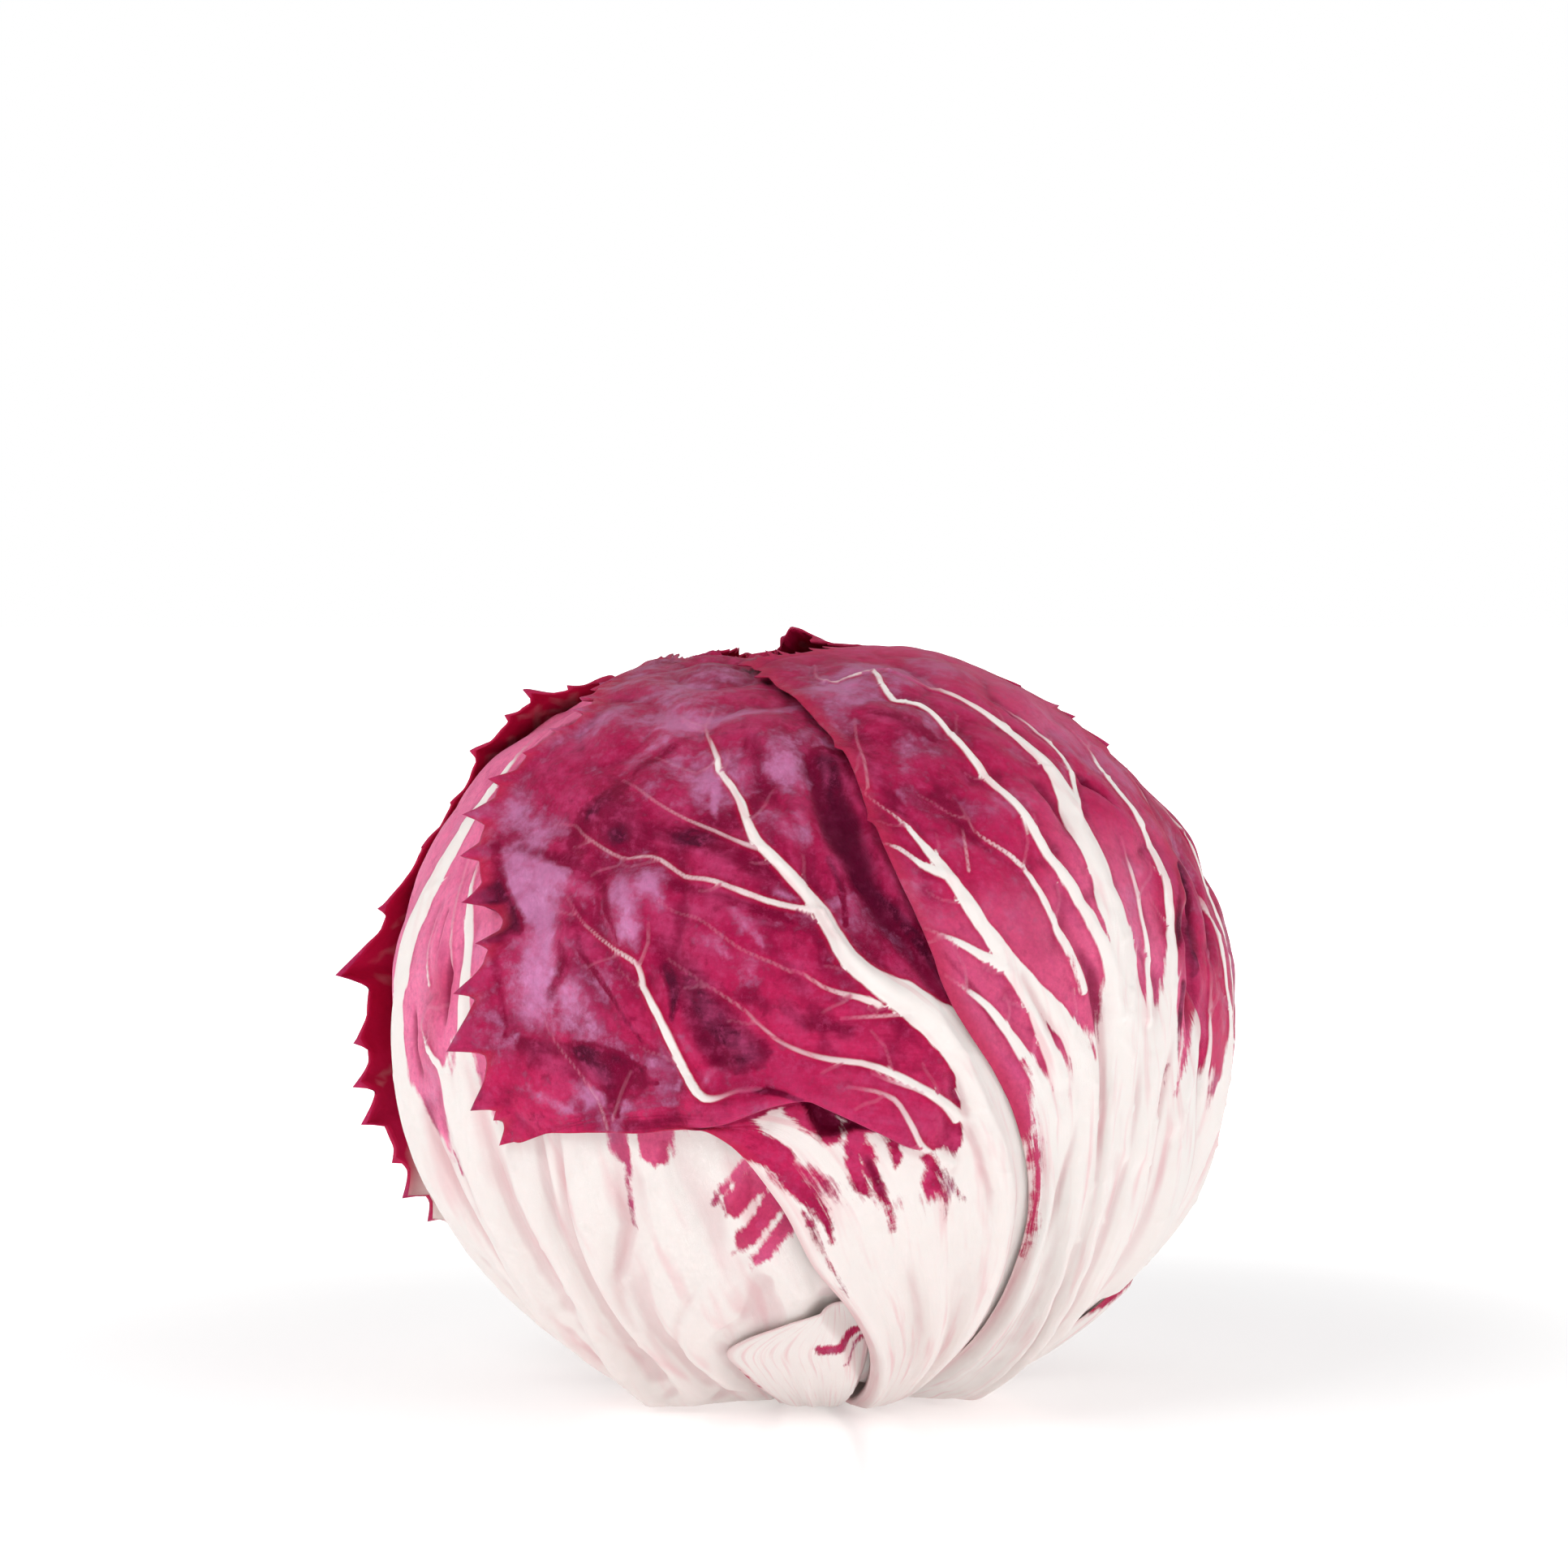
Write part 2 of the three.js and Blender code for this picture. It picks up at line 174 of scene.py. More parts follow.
def foldField(towards, folds):
    # For pleats: the side to the left of the line stands over the other by a steep step, and sinks back
    # with distance. The lower side is hollowed where the pleat shades it; the second value is how much it
    # is in that shade. The third is how far above the line each place is, where the line is strong.
    height, shade, above = np.zeros((3, *towards.shape[:-1]))
    for fold in folds:
        line, steps, share = drawnLine(fold["line"], (len(fold["line"]) - 1) * 3 + 1)
        nearest = np.full(height.shape, 99.0)
        signed = np.zeros(height.shape)
        place = np.zeros(height.shape)
        for k in range(len(line) - 1):
            a, b = line[k], line[k + 1]
            t = np.clip((towards - a) @ (b - a) / (steps[k] ** 2), 0, 1)
            offset = towards - a - t[..., None] * (b - a)
            distance = np.sqrt((offset ** 2).sum(-1)) * head["radius"]
            side = np.sign(offset @ np.cross(a, b - a))
            closer = distance < nearest
            nearest = np.where(closer, distance, nearest)
            signed = np.where(closer, distance * side, signed)
            place = np.where(closer, share[k] + (share[k + 1] - share[k]) * t, place)
        ends = smooth(place, 0, 0.2) * (1 - smooth(place, 0.8, 1))
        step = smooth(signed, -fold["edge"], fold["edge"]) * np.exp(-np.maximum(signed, 0) / fold["reach"])
        height += fold["high"] * step * ends
        above += np.clip(signed * 9, -18, 18) * ends * (1 - smooth(nearest, 4, 9))
        under = np.interp(place, *np.array(fold["shade"], float).T) + 0.01
        shaded = smooth(-signed, 0, 0.3) * (1 - smooth(-signed, 0.7 * under, 1.15 * under))
        height -= fold["hollow"] * shaded * smooth(under, 0.2, 2)
        shade += shaded
    return height, shade, above


# The ceiling: for each direction, how low the leaves laid so far reach. The directions are spread on a
# square map, an octahedron opened flat from the back of the head, so that its cells are about the same size
# everywhere.
ceilingForm = {"cells": 440, "open": 75.0, "hole": 2, "clear": 3, "soften": 2}
ceiling = np.full((ceilingForm["cells"],) * 2, ceilingForm["open"])


def mapPlace(towards):
    x, z, y = np.moveaxis(towards / np.abs(towards).sum(-1, keepdims=True), -1, 0)
    back = y > 0  # fronts have a negative y; the back is folded outwards
    signX, signZ = np.where(x < 0, -1, 1), np.where(z < 0, -1, 1)
    across = np.where(back, (1 - np.abs(z)) * signX, x)
    upwards = np.where(back, (1 - np.abs(x)) * signZ, z)
    scale = (ceilingForm["cells"] - 1) / 2
    return (across + 1) * scale, (upwards + 1) * scale


def padded(table, n):
    # the map's neighbours past its edge are those on the same edge, read backwards
    sides = np.concatenate([table[::-1, n:0:-1], table, table[::-1, -2:-n - 2:-1]], axis=1)
    return np.concatenate([sides[n:0:-1, ::-1], sides, sides[-2:-n - 2:-1, ::-1]], axis=0)


def lowest(table, n):
    # the least value within n cells each way
    size = len(table)
    wide = padded(table, n)
    rows = np.min([wide[k:k + size] for k in range(2 * n + 1)], axis=0)
    return np.min([rows[:, k:k + size] for k in range(2 * n + 1)], axis=0)


def blurred(table, n):
    size = len(table)
    wide = padded(table, n)
    rows = np.mean([wide[k:k + size] for k in range(2 * n + 1)], axis=0)
    return np.mean([rows[:, k:k + size] for k in range(2 * n + 1)], axis=0)


openAbove = 63.5  # mm; beyond this radius nothing lies over a place


def softCeiling():
    # lowered round each edge by as much as the blur spreads, so it never rises over a leaf's underside
    filled = np.minimum(ceiling, lowest(ceiling, ceilingForm["hole"]))
    near = np.minimum(filled, openAbove)
    dropped = lowest(near, ceilingForm["clear"])
    return blurred(blurred(dropped, ceilingForm["soften"]), 2)


def roomUnder(towards):
    # the room that the ceiling leaves in each direction; no limit where nothing lies over the head
    room = readMap(softCeiling(), towards)
    return np.where(room > openAbove - 0.1, 99, room - head["leafGap"])


def readMap(table, towards):
    px, py = mapPlace(towards)
    i, j = np.minimum(px.astype(int), len(table) - 2), np.minimum(py.astype(int), len(table) - 2)
    fx, fy = px - i, py - j
    low, high = mix(table[j, i], table[j, i + 1], fx), mix(table[j + 1, i], table[j + 1, i + 1], fx)
    return low * (1 - fy) + high * fy


def addToCeiling(towards, underside):
    px, py = mapPlace(towards)
    np.minimum.at(ceiling, (np.rint(py).astype(int), np.rint(px).astype(int)), underside)


# what a leaf has unless its own values say otherwise
usual = {
    **{key: [] for key in ("ribs", "furrows", "dips", "folds", "patches")},
    **{key: [] for key in ("shadeAndDarkRedStrokes", "sheens", "paintedSheen", "ripeAt")},
    "flare": None,
    "teeth": None,
    "ripe": 0.5,      # 0 is the palest red blade, 1 the darkest
    "puff": 0.7,      # how far the blade swells between its ribs
    "wrinkle": 0.7,
    "flush": 0.0,     # how far the margin is pressed down
    "rim": 0.35,      # thickness at the very edge
    "thinFor": 4.0,   # and how far in from it the blade reaches its full thickness
    "flesh": 1.1,     # more thickness at the base
}
blade = {
    "thick": 0.85,
    "pressedFor": 4.0,        # the margin's width, where it is pressed down
    "puffReach": 3.5,         # from a rib's edge
    "wrinkleSize": 22,
    "fineWrinkleSize": 8,
    "fineWrinkle": 0.2,       # as a share of the large wrinkles
    "swell": 0.5,
    "swellSize": 45,
    # hollows: the measure behind painted shade in hollows and painted light on ridges
    "hollows": [[5, 0.4, 0.6], [14, 1.2, 0.4]],   # grid points looked over, mm that count as full, share
}


def leafGrid(leaf):
    # Directions of a blade: the left edge, midrib and right edge are curves through the leaf's rows; each
    # row of the grid runs straight from the midrib to the edges, u from -1 to 1, and v is the share of the
    # leaf's length.
    rows = np.array(leaf["rows"], float)
    places = direction(rows[..., 0], rows[..., 1])
    dense = np.linspace(0, len(rows) - 1, 800)
    curves = [unit(splineThrough(places[:, k], dense)) for k in range(3)]
    steps = np.max([np.linalg.norm(np.diff(c, axis=0), axis=1) for c in curves], axis=0) + 1e-4
    run = np.concatenate([[0], np.cumsum(steps)])
    length = run[-1] * head["radius"]
    spacing = leaf["spacing"]
    rowCount = int(length / spacing / 2) * 2 + 1
    even = np.interp(np.linspace(0, run[-1], rowCount), run, dense)
    left, mid, right = [unit(splineThrough(places[:, k], even)) for k in range(3)]
    v = np.linspace(0, 1, rowCount)
    widths = [np.linalg.norm(side - mid, axis=1).max() * head["radius"] for side in (left, right)]
    counts = [max(int(w / spacing), 8) // 2 * 2 for w in widths]
    u = np.concatenate([np.linspace(-1, 0, counts[0] + 1), np.linspace(0, 1, counts[1] + 1)[1:]])
    side = np.where((u < 0)[None, :, None], left[:, None], right[:, None])
    reach = np.abs(u)[None, :, None]
    towards = unit(mid[:, None] * (1 - reach) + side * reach)
    halfWidth = np.linalg.norm(side - mid[:, None], axis=2) * head["radius"]
    return towards, u, v, length, halfWidth


thorn = {
    "steepSide": 0.32,      # the short side's width, as a share of the long one's
    "hollow": 1.3,
    "size": (0.75, 1.2),    # drawn at random, as shares of the leaf's own height and pitch
    "width": (0.45, 0.6),
    "small": 0.45,          # every third one is this share as tall
    "fadeIn": 0.15,         # share of the edge over which they reach full size
    "tipLength": 60,        # mm across a leaf's tip
}


def toothReach(at, tips):
    # how far the edge stands out at each place along it: a thorn at each tip, hooked back towards the
    # leaf's base, with a long hollow side above its point and a short one below
    reach = np.zeros(at.shape)
    for place, tall, wide in tips:
        past = (at - place) / np.where(at > place, wide, thorn["steepSide"] * wide)
        reach = np.maximum(reach, tall * np.clip(1 - np.abs(past), 0, 1) ** thorn["hollow"])
    return reach


def evenTeeth(length, start, seed, pitch, tall):
    # thorns along an edge from start on, their spacing and size drawn at random, every third one small
    rng = np.random.default_rng(seed)
    places, at, count = [], start * length, 0
    while at < length:
        size = tall * rng.uniform(*thorn["size"]) * (thorn["small"] if count % 3 == 1 else 1)
        size *= float(smooth(at / length, start, start + thorn["fadeIn"]))
        places.append((at, size, pitch * rng.uniform(*thorn["width"])))
        at += pitch * rng.uniform(*thorn["size"])
        count += 1
    return places


def growTeeth(leaf, towards, u, v, length, flared):
    # pushes the outermost strip of the blade outwards by each thorn's reach, less where it is flared
    teeth = leaf["teeth"]
    if not teeth:
        return towards, np.zeros(towards.shape[:2])
    pushed = towards.copy()
    reach = np.zeros(towards.shape[:2])
    for edge, sign in (("left", -1), ("right", 1)):
        tips = teeth.get(edge)
        if tips is None:
            tips = evenTeeth(length, teeth["start"], teeth["seed"] + sign, teeth["pitch"], teeth["tall"])
        edgeColumn = 0 if sign < 0 else -1
        if teeth.get(edge) is not None:  # given as the places of their tips
            margin = towards[:, edgeColumn]
            tips = [(v[np.argmax(margin @ direction(turn, rise))] * length, tall, wide)
                    for turn, rise, tall, wide in tips]
        out = toothReach(v * length, tips)
        inner = 1 if sign < 0 else -2
        outward = unit(towards[:, edgeColumn] - towards[:, inner])
        weight = smooth(u * sign, teeth.get("from", 0.8), 1.0) ** 1.5
        push = out[:, None] * weight[None, :] / head["radius"]
        pushed += outward[:, None] * (push * (1 - 0.6 * smooth(flared, 0, 2)))[..., None]
        reach += out[:, None] * weight[None, :]
    tipTeeth = evenTeeth(thorn["tipLength"], 0.0, teeth["seed"] + 5, teeth["pitch"], teeth["tall"])
    tipOut = toothReach(np.linspace(0, 1, len(u)) * thorn["tipLength"], tipTeeth)
    onward = unit(towards[-1] - towards[-3])
    weight = smooth(v, 0.97, 1.0)
    pushed += onward[None] * (tipOut[None, :] * weight[:, None] / head["radius"])[..., None]
    return unit(pushed), reach


def flutes(leaf, u, v):
    # ridges that fan out of the base: a wave across the blade whose crests lean and split a little
    form = leaf["flutes"]
    U, V = np.meshgrid(u, v)
    lean = 0.06 * np.sin(7 * V + 3 * U) + 0.03 * np.sin(19 * V + 11 * U)
    wave = np.cos(2 * math.pi * form["count"] * (U + lean) + 1.2 * np.sin(5 * U))
    crest = np.sign(wave) * np.abs(wave) ** 0.8
    return form["high"] * crest * (1 - smooth(V, form["from"], form["to"])) * smooth(V, 0.02, 0.2)


def boxBlur(values, n):
    # the mean of the 2n + 1 neighbours each way, the edge values repeated past the edge
    for axis in (0, 1):
        wide = np.pad(values, [(n + 1, n) if k == axis else (0, 0) for k in (0, 1)], mode="edge")
        total = np.cumsum(wide, axis=axis)
        size = values.shape[axis]
        high = np.take(total, np.arange(2 * n + 1, 2 * n + 1 + size), axis=axis)
        values = (high - np.take(total, np.arange(size), axis=axis)) / (2 * n + 1)
    return values


def flareHeight(leaf, towards, U):
    # how far an edge, or the middle of the tip, is turned outwards, from its heights at some rises
    flare = leaf["flare"]
    if not flare:
        return np.zeros(U.shape)
    heights = np.interp(riseOf(towards), *np.array(flare["heights"], float).T)
    if flare["side"]:
        return heights * smooth(U * flare["side"], flare["from"], 1.0)
    return heights * np.exp(-(U / 0.3) ** 2)


def bladeMesh(name, outer, inner, attributes, uv):
    # the outer face at every grid point, the inner one at every second, and a rim that joins them
    rows, across = outer.shape[:2]
    grid = np.arange(rows * across).reshape(rows, across)
    quads = np.stack([grid[:-1, :-1], grid[:-1, 1:], grid[1:, 1:], grid[1:, :-1]], -1).reshape(-1, 4)
    back = rows * across + np.arange(inner.shape[0] * inner.shape[1]).reshape(inner.shape[:2])
    backQuads = np.stack([back[:-1, :-1], back[1:, :-1], back[1:, 1:], back[:-1, 1:]], -1).reshape(-1, 4)
    edgeOut = np.concatenate([grid[0], grid[1:, -1], grid[-1, -2::-1], grid[-2:0:-1, 0]])
    edgeIn = np.concatenate([back[0], back[1:, -1], back[-1, -2::-1], back[-2:0:-1, 0]])
    nextIn, nextOut = np.roll(edgeIn, -1), np.roll(edgeOut, -2)
    a, b, c = edgeOut[0::2], edgeOut[1::2], nextOut[0::2]
    rimCorners = [b, a, edgeIn], [b, edgeIn, nextIn], [c, b, nextIn]
    rim = np.concatenate([np.stack(three, -1) for three in rimCorners])
    points = np.concatenate([outer.reshape(-1, 3), inner.reshape(-1, 3)]) * mm
    points[:, 2] += head["centreHeight"] * mm
    mesh = bpy.data.meshes.new(name)
    mesh.from_pydata(points, [], quads.tolist() + backQuads.tolist() + rim.tolist())
    materials = np.zeros(len(quads) + len(backQuads) + len(rim), int)
    materials[len(quads):len(quads) + len(backQuads)] = 1
    mesh.polygons.foreach_set("material_index", materials)
    for key, values in attributes.items():
        field = np.concatenate([values.ravel(), values[::2, ::2].ravel()]).astype(np.float32)
        mesh.attributes.new(key, "FLOAT", "POINT").data.foreach_set("value", field)
    corners = np.zeros(len(mesh.loops), int)
    mesh.loops.foreach_get("vertex_index", corners)
    uvs = np.concatenate([uv.reshape(-1, 2), uv[::2, ::2].reshape(-1, 2)])
    mesh.uv_layers.new(name="alongLeaf").data.foreach_set("uv", uvs[corners].ravel())
    mesh.shade_smooth()
    mesh.validate()
    return newObject(name, mesh)


def growLeaf(node, leaf):
    # one leaf, from its rows, ribs, folds and teeth, pushed in wherever a leaf laid before it lies over it
    smoothTowards, u, v, length, halfWidth = leafGrid(leaf)
    U, V = np.meshgrid(u, v)
    flared = flareHeight(leaf, smoothTowards, U)
    towards, toothed = growTeeth(leaf, smoothTowards, u, v, length, flared)
    ribGap, ribHalf, ribHeight = strokeField(towards, leaf["ribs"], leaf["spacing"])
    furrowDepth = strokeField(towards, leaf["furrows"])[2]
    redTurns, redRises = np.array(leaf["redFrom"], float).T
    centreTurn = leaf["rows"][len(leaf["rows"]) // 2][1][0]
    turn = (turnOf(towards) - centreTurn + 180) % 360 - 180 + centreTurn  # no jump within the leaf
    redAbove = (riseOf(towards) - np.interp(turn, redTurns, redRises)) * 1.05
    left, middle, right = leaf["lift"]
    lift = np.where(U < 0, mix(middle, left, np.abs(U)), mix(middle, right, U))
    puff = leaf["puff"] * (1 - np.exp(-np.maximum(ribGap, 0) / blade["puffReach"])) * smooth(redAbove, -5, 12)
    wrinkles = leaf["wrinkle"] * (np.abs(crumple(towards, blade["wrinkleSize"], leaf["seed"])) - 0.6)
    wrinkles += blade["fineWrinkle"] * leaf["wrinkle"] * (
        np.abs(crumple(towards, blade["fineWrinkleSize"], leaf["seed"] + 1)) - 0.6)
    wrinkles *= smooth(redAbove, -12, 10)
    swell = blade["swell"] * crumple(towards, blade["swellSize"], leaf["seed"] + 2)
    radius = skinRadius(towards) + lift + ribHeight + puff + wrinkles + swell + flutes(leaf, u, v)
    pleat, pleatShade, pleatSide = foldField(towards, leaf["folds"])
    dips = strokeField(towards, leaf["dips"])[2]
    radius += flared + toothed * smooth(flared, 0, 2) - furrowDepth + pleat - dips
    edgeGap = np.minimum((1 - np.abs(U)) * halfWidth + toothed, (1 - V) * length)
    radius -= leaf["flush"] * (1 - smooth(edgeGap, 0, blade["pressedFor"]))
    # how far each place lies below the blur of its neighbours, for painted shade in hollows and painted light
    # on ridges
    hollow = 0
    for points, full, share in blade["hollows"]:
        hollow = hollow + np.clip((boxBlur(radius, points) - radius) / full, -1, 1) * share
    bound = head["centreHeight"] - head["floorClearance"]
    floorRoom = np.where(towards[..., 2] < -0.2, bound / np.maximum(-towards[..., 2], 0.2), 99)
    radius = np.minimum(radius, np.minimum(roomUnder(towards), floorRoom))
    thick = mix(leaf["rim"], blade["thick"], smooth(edgeGap, 0, leaf["thinFor"]))
    thick = thick + leaf["flesh"] * (1 - smooth(V, 0, 0.6)) * (1 - 0.5 * np.abs(U))
    addToCeiling(towards, radius - thick)
    outer = towards * radius[..., None]
    inner = (towards * (radius - thick)[..., None])[::2, ::2]
    attributes = {
        "ribGap": ribGap, "ribHalf": ribHalf, "redAbove": redAbove + pleatSide, "edgeGap": edgeGap,
        "patchGap": strokeField(towards, leaf["patches"])[0], "furrow": furrowDepth, "hollow": hollow,
        # dark red strokes, plus painted shade under the pleats
        "deep": strokeField(towards, leaf["shadeAndDarkRedStrokes"])[2] + 2 * pleatShade,
        # spots and sheen strokes where sheen is painted into the colour
        "paintedSheen": spots(leaf["paintedSheen"], towards) + strokeField(towards, leaf["sheens"])[2],
        "ripe": np.clip(leaf["ripe"] + spots(leaf["ripeAt"], towards), 0, 1),
    }
    uv = np.stack([np.broadcast_to(U * 30, U.shape), V * length], -1)
    piece = bladeMesh(node + "_blade", outer, inner, attributes, uv)
    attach(piece, "root")
    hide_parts(node)
    triangles = sum(len(polygon.vertices) - 2 for polygon in piece.data.polygons)
    print(node, "laid:", outer.shape[:2], "points,", triangles, "triangles")
    return piece


def spots(places, towards):
    # the sum of soft round areas, each [turn, rise, reach in mm, strength]
    total = np.zeros(towards.shape[:-1])
    for turn, rise, reach, strength in places:
        away = np.linalg.norm(towards - direction(turn, rise), axis=-1) * head["radius"]
        total += strength * np.exp(-(away / reach) ** 2)
    return total


grown = {
    "last": 0.86,            # share of the leaf's length where the last side rib leaves the midrib
    "unevenStart": 0.015,
    "climb": (0.34, 0.1),    # of the first and the last side rib, as shares of the leaf's length
    "reach": 0.93,           # share of the way to the edge where they end
    "lastWide": 0.45,
    "branchReach": 0.33,
    "branchRise": 0.12,
}


def growRibs(leaf):
    # ribs of a leaf that grew as they do on any: a midrib, side ribs that leave it at even steps and bend
    # upwards, each with two fine branches. Written as lines of turns and rises, as the placed ones are.
    form = leaf["grownRibs"]
    rng = np.random.default_rng(leaf["seed"])
    rows = np.array(leaf["rows"], float)
    places = direction(rows[..., 0], rows[..., 1])

    def onBlade(u, v):
        u, v = np.atleast_1d(u).astype(float), np.clip(np.atleast_1d(v).astype(float), 0, 1)
        left, mid, right = [unit(splineThrough(places[:, k], v * (len(rows) - 1))) for k in range(3)]
        side = np.where((u < 0)[:, None], left, right)
        p = unit(mid * (1 - np.abs(u))[:, None] + side * np.abs(u)[:, None])
        return np.stack([turnOf(p), riseOf(p)], -1).tolist()

    midrib = onBlade(np.zeros(9), np.linspace(0.02, 0.97, 9))
    strokes = [stroke(midrib, form["midWide"], 0.3, 1.2, 0.3, taper=0.6)]
    for sign in form.get("sides", (-1, 1)):
        for k in range(form["count"]):
            step = k / form["count"]
            start = mix(form["first"], grown["last"], step)
            start = start + rng.uniform(-grown["unevenStart"], grown["unevenStart"])
            climb = mix(*grown["climb"], step) * rng.uniform(0.9, 1.15)
            u = np.linspace(0, grown["reach"], 7)
            bend = 0.02 * np.sin(np.linspace(0, 9, 7) + rng.uniform(0, 6))
            v = start + climb * u ** 0.75 + bend
            wide = mix(form["sideWide"], grown["lastWide"], step)
            strokes.append(stroke(onBlade(sign * u, v), wide, 0.15, 0.7, 0.15))
            for b in (3, 4):
                bu = np.linspace(u[b], min(u[b] + grown["branchReach"], 0.95), 4)
                turnUp = 1 if b == 3 else -0.35
                bv = v[b] + turnUp * np.linspace(0, grown["branchRise"], 4)
                strokes.append(stroke(onBlade(sign * bu, bv), 0.28, 0.08, 0.3, 0.1))
    return strokes


twig = {
    "ribLength": 12,          # mm; only ribs this long and this wide bear twigs
    "ribWide": 0.4,
    "first": 0.3,             # share of the rib's length where they start
    "length": (3, 7),
    "apart": (6, 12),
    "spread": (0.7, 1.1),     # how far sideways for each step along
    "wide": (0.08, 0.17),
}


def growTwigs(leaf):
    # fine veins that leave the larger ribs on both sides and bend forwards, as lines of the same kind
    rng = np.random.default_rng(leaf["seed"] + 7)
    twigs = []
    for rib in leaf["ribs"]:
        curve, steps, share = drawnLine(rib["line"], 60)
        run = np.concatenate([[0], np.cumsum(steps)]) * head["radius"]
        if run[-1] < twig["ribLength"] or rib["wide"] < twig["ribWide"]:
            continue
        at = run[-1] * twig["first"]
        while at < run[-1] - 2:
            k = min(int(np.searchsorted(run, at)), 58)
            root, along = curve[k], unit(curve[k + 1] - curve[k])
            sideways = np.cross(root, along) * rng.choice([-1, 1])
            size = rng.uniform(*twig["length"]) / head["radius"]
            spread = rng.uniform(*twig["spread"])
            t = np.linspace(0, 1, 5)
            bent = spread * (t - 0.28 * t ** 2 + 0.05 * np.sin(t * 7 + rng.uniform(0, 6)))
            path = unit(root + size * (np.outer(t, along) * 0.8 + np.outer(bent, sideways)))
            line = np.stack([turnOf(path), riseOf(path)], -1).tolist()
            twigs.append(stroke(line, rng.uniform(*twig["wide"]), 0.03, 0.25, 0.05))
            at += rng.uniform(*twig["apart"])
    return twigs


tongues = {"apart": 5.5, "rise": 84, "reach": (-9, 8)}


def unevenRed(start, end, seed):
    # a leaf's rises where the red begins: tongues that reach down to different depths
    rng = np.random.default_rng(seed)
    turns = np.arange(start, end, tongues["apart"])
    return np.stack([turns, tongues["rise"] + rng.uniform(*tongues["reach"], len(turns))], -1).tolist()


def stroke(line, wide, fine, high=0.0, low=0.0, **more):
    return {"line": line, "wide": wide, "fine": fine, "high": high, "low": low, **more}


def tint(line, half, strength):
    # a soft stroke of colour, nearly as strong all along
    return stroke(line, half, half * 0.8, strength, strength * 0.9)


def furrow(line, deep, deepEnd, spread, wide=0.3, fine=0.2, **more):
    # a groove that starts and ends gently; one with a depth below 0 is a ridge
    return stroke(line, wide, fine, deep, deepEnd, spread=spread, sunk=True, **more)


def dip(line, deep, deepEnd, reach):
    # the skin eases down towards the edge of the leaf that lies over it
    return stroke(line, 1.0, 1.0, deep, deepEnd, spread=reach)


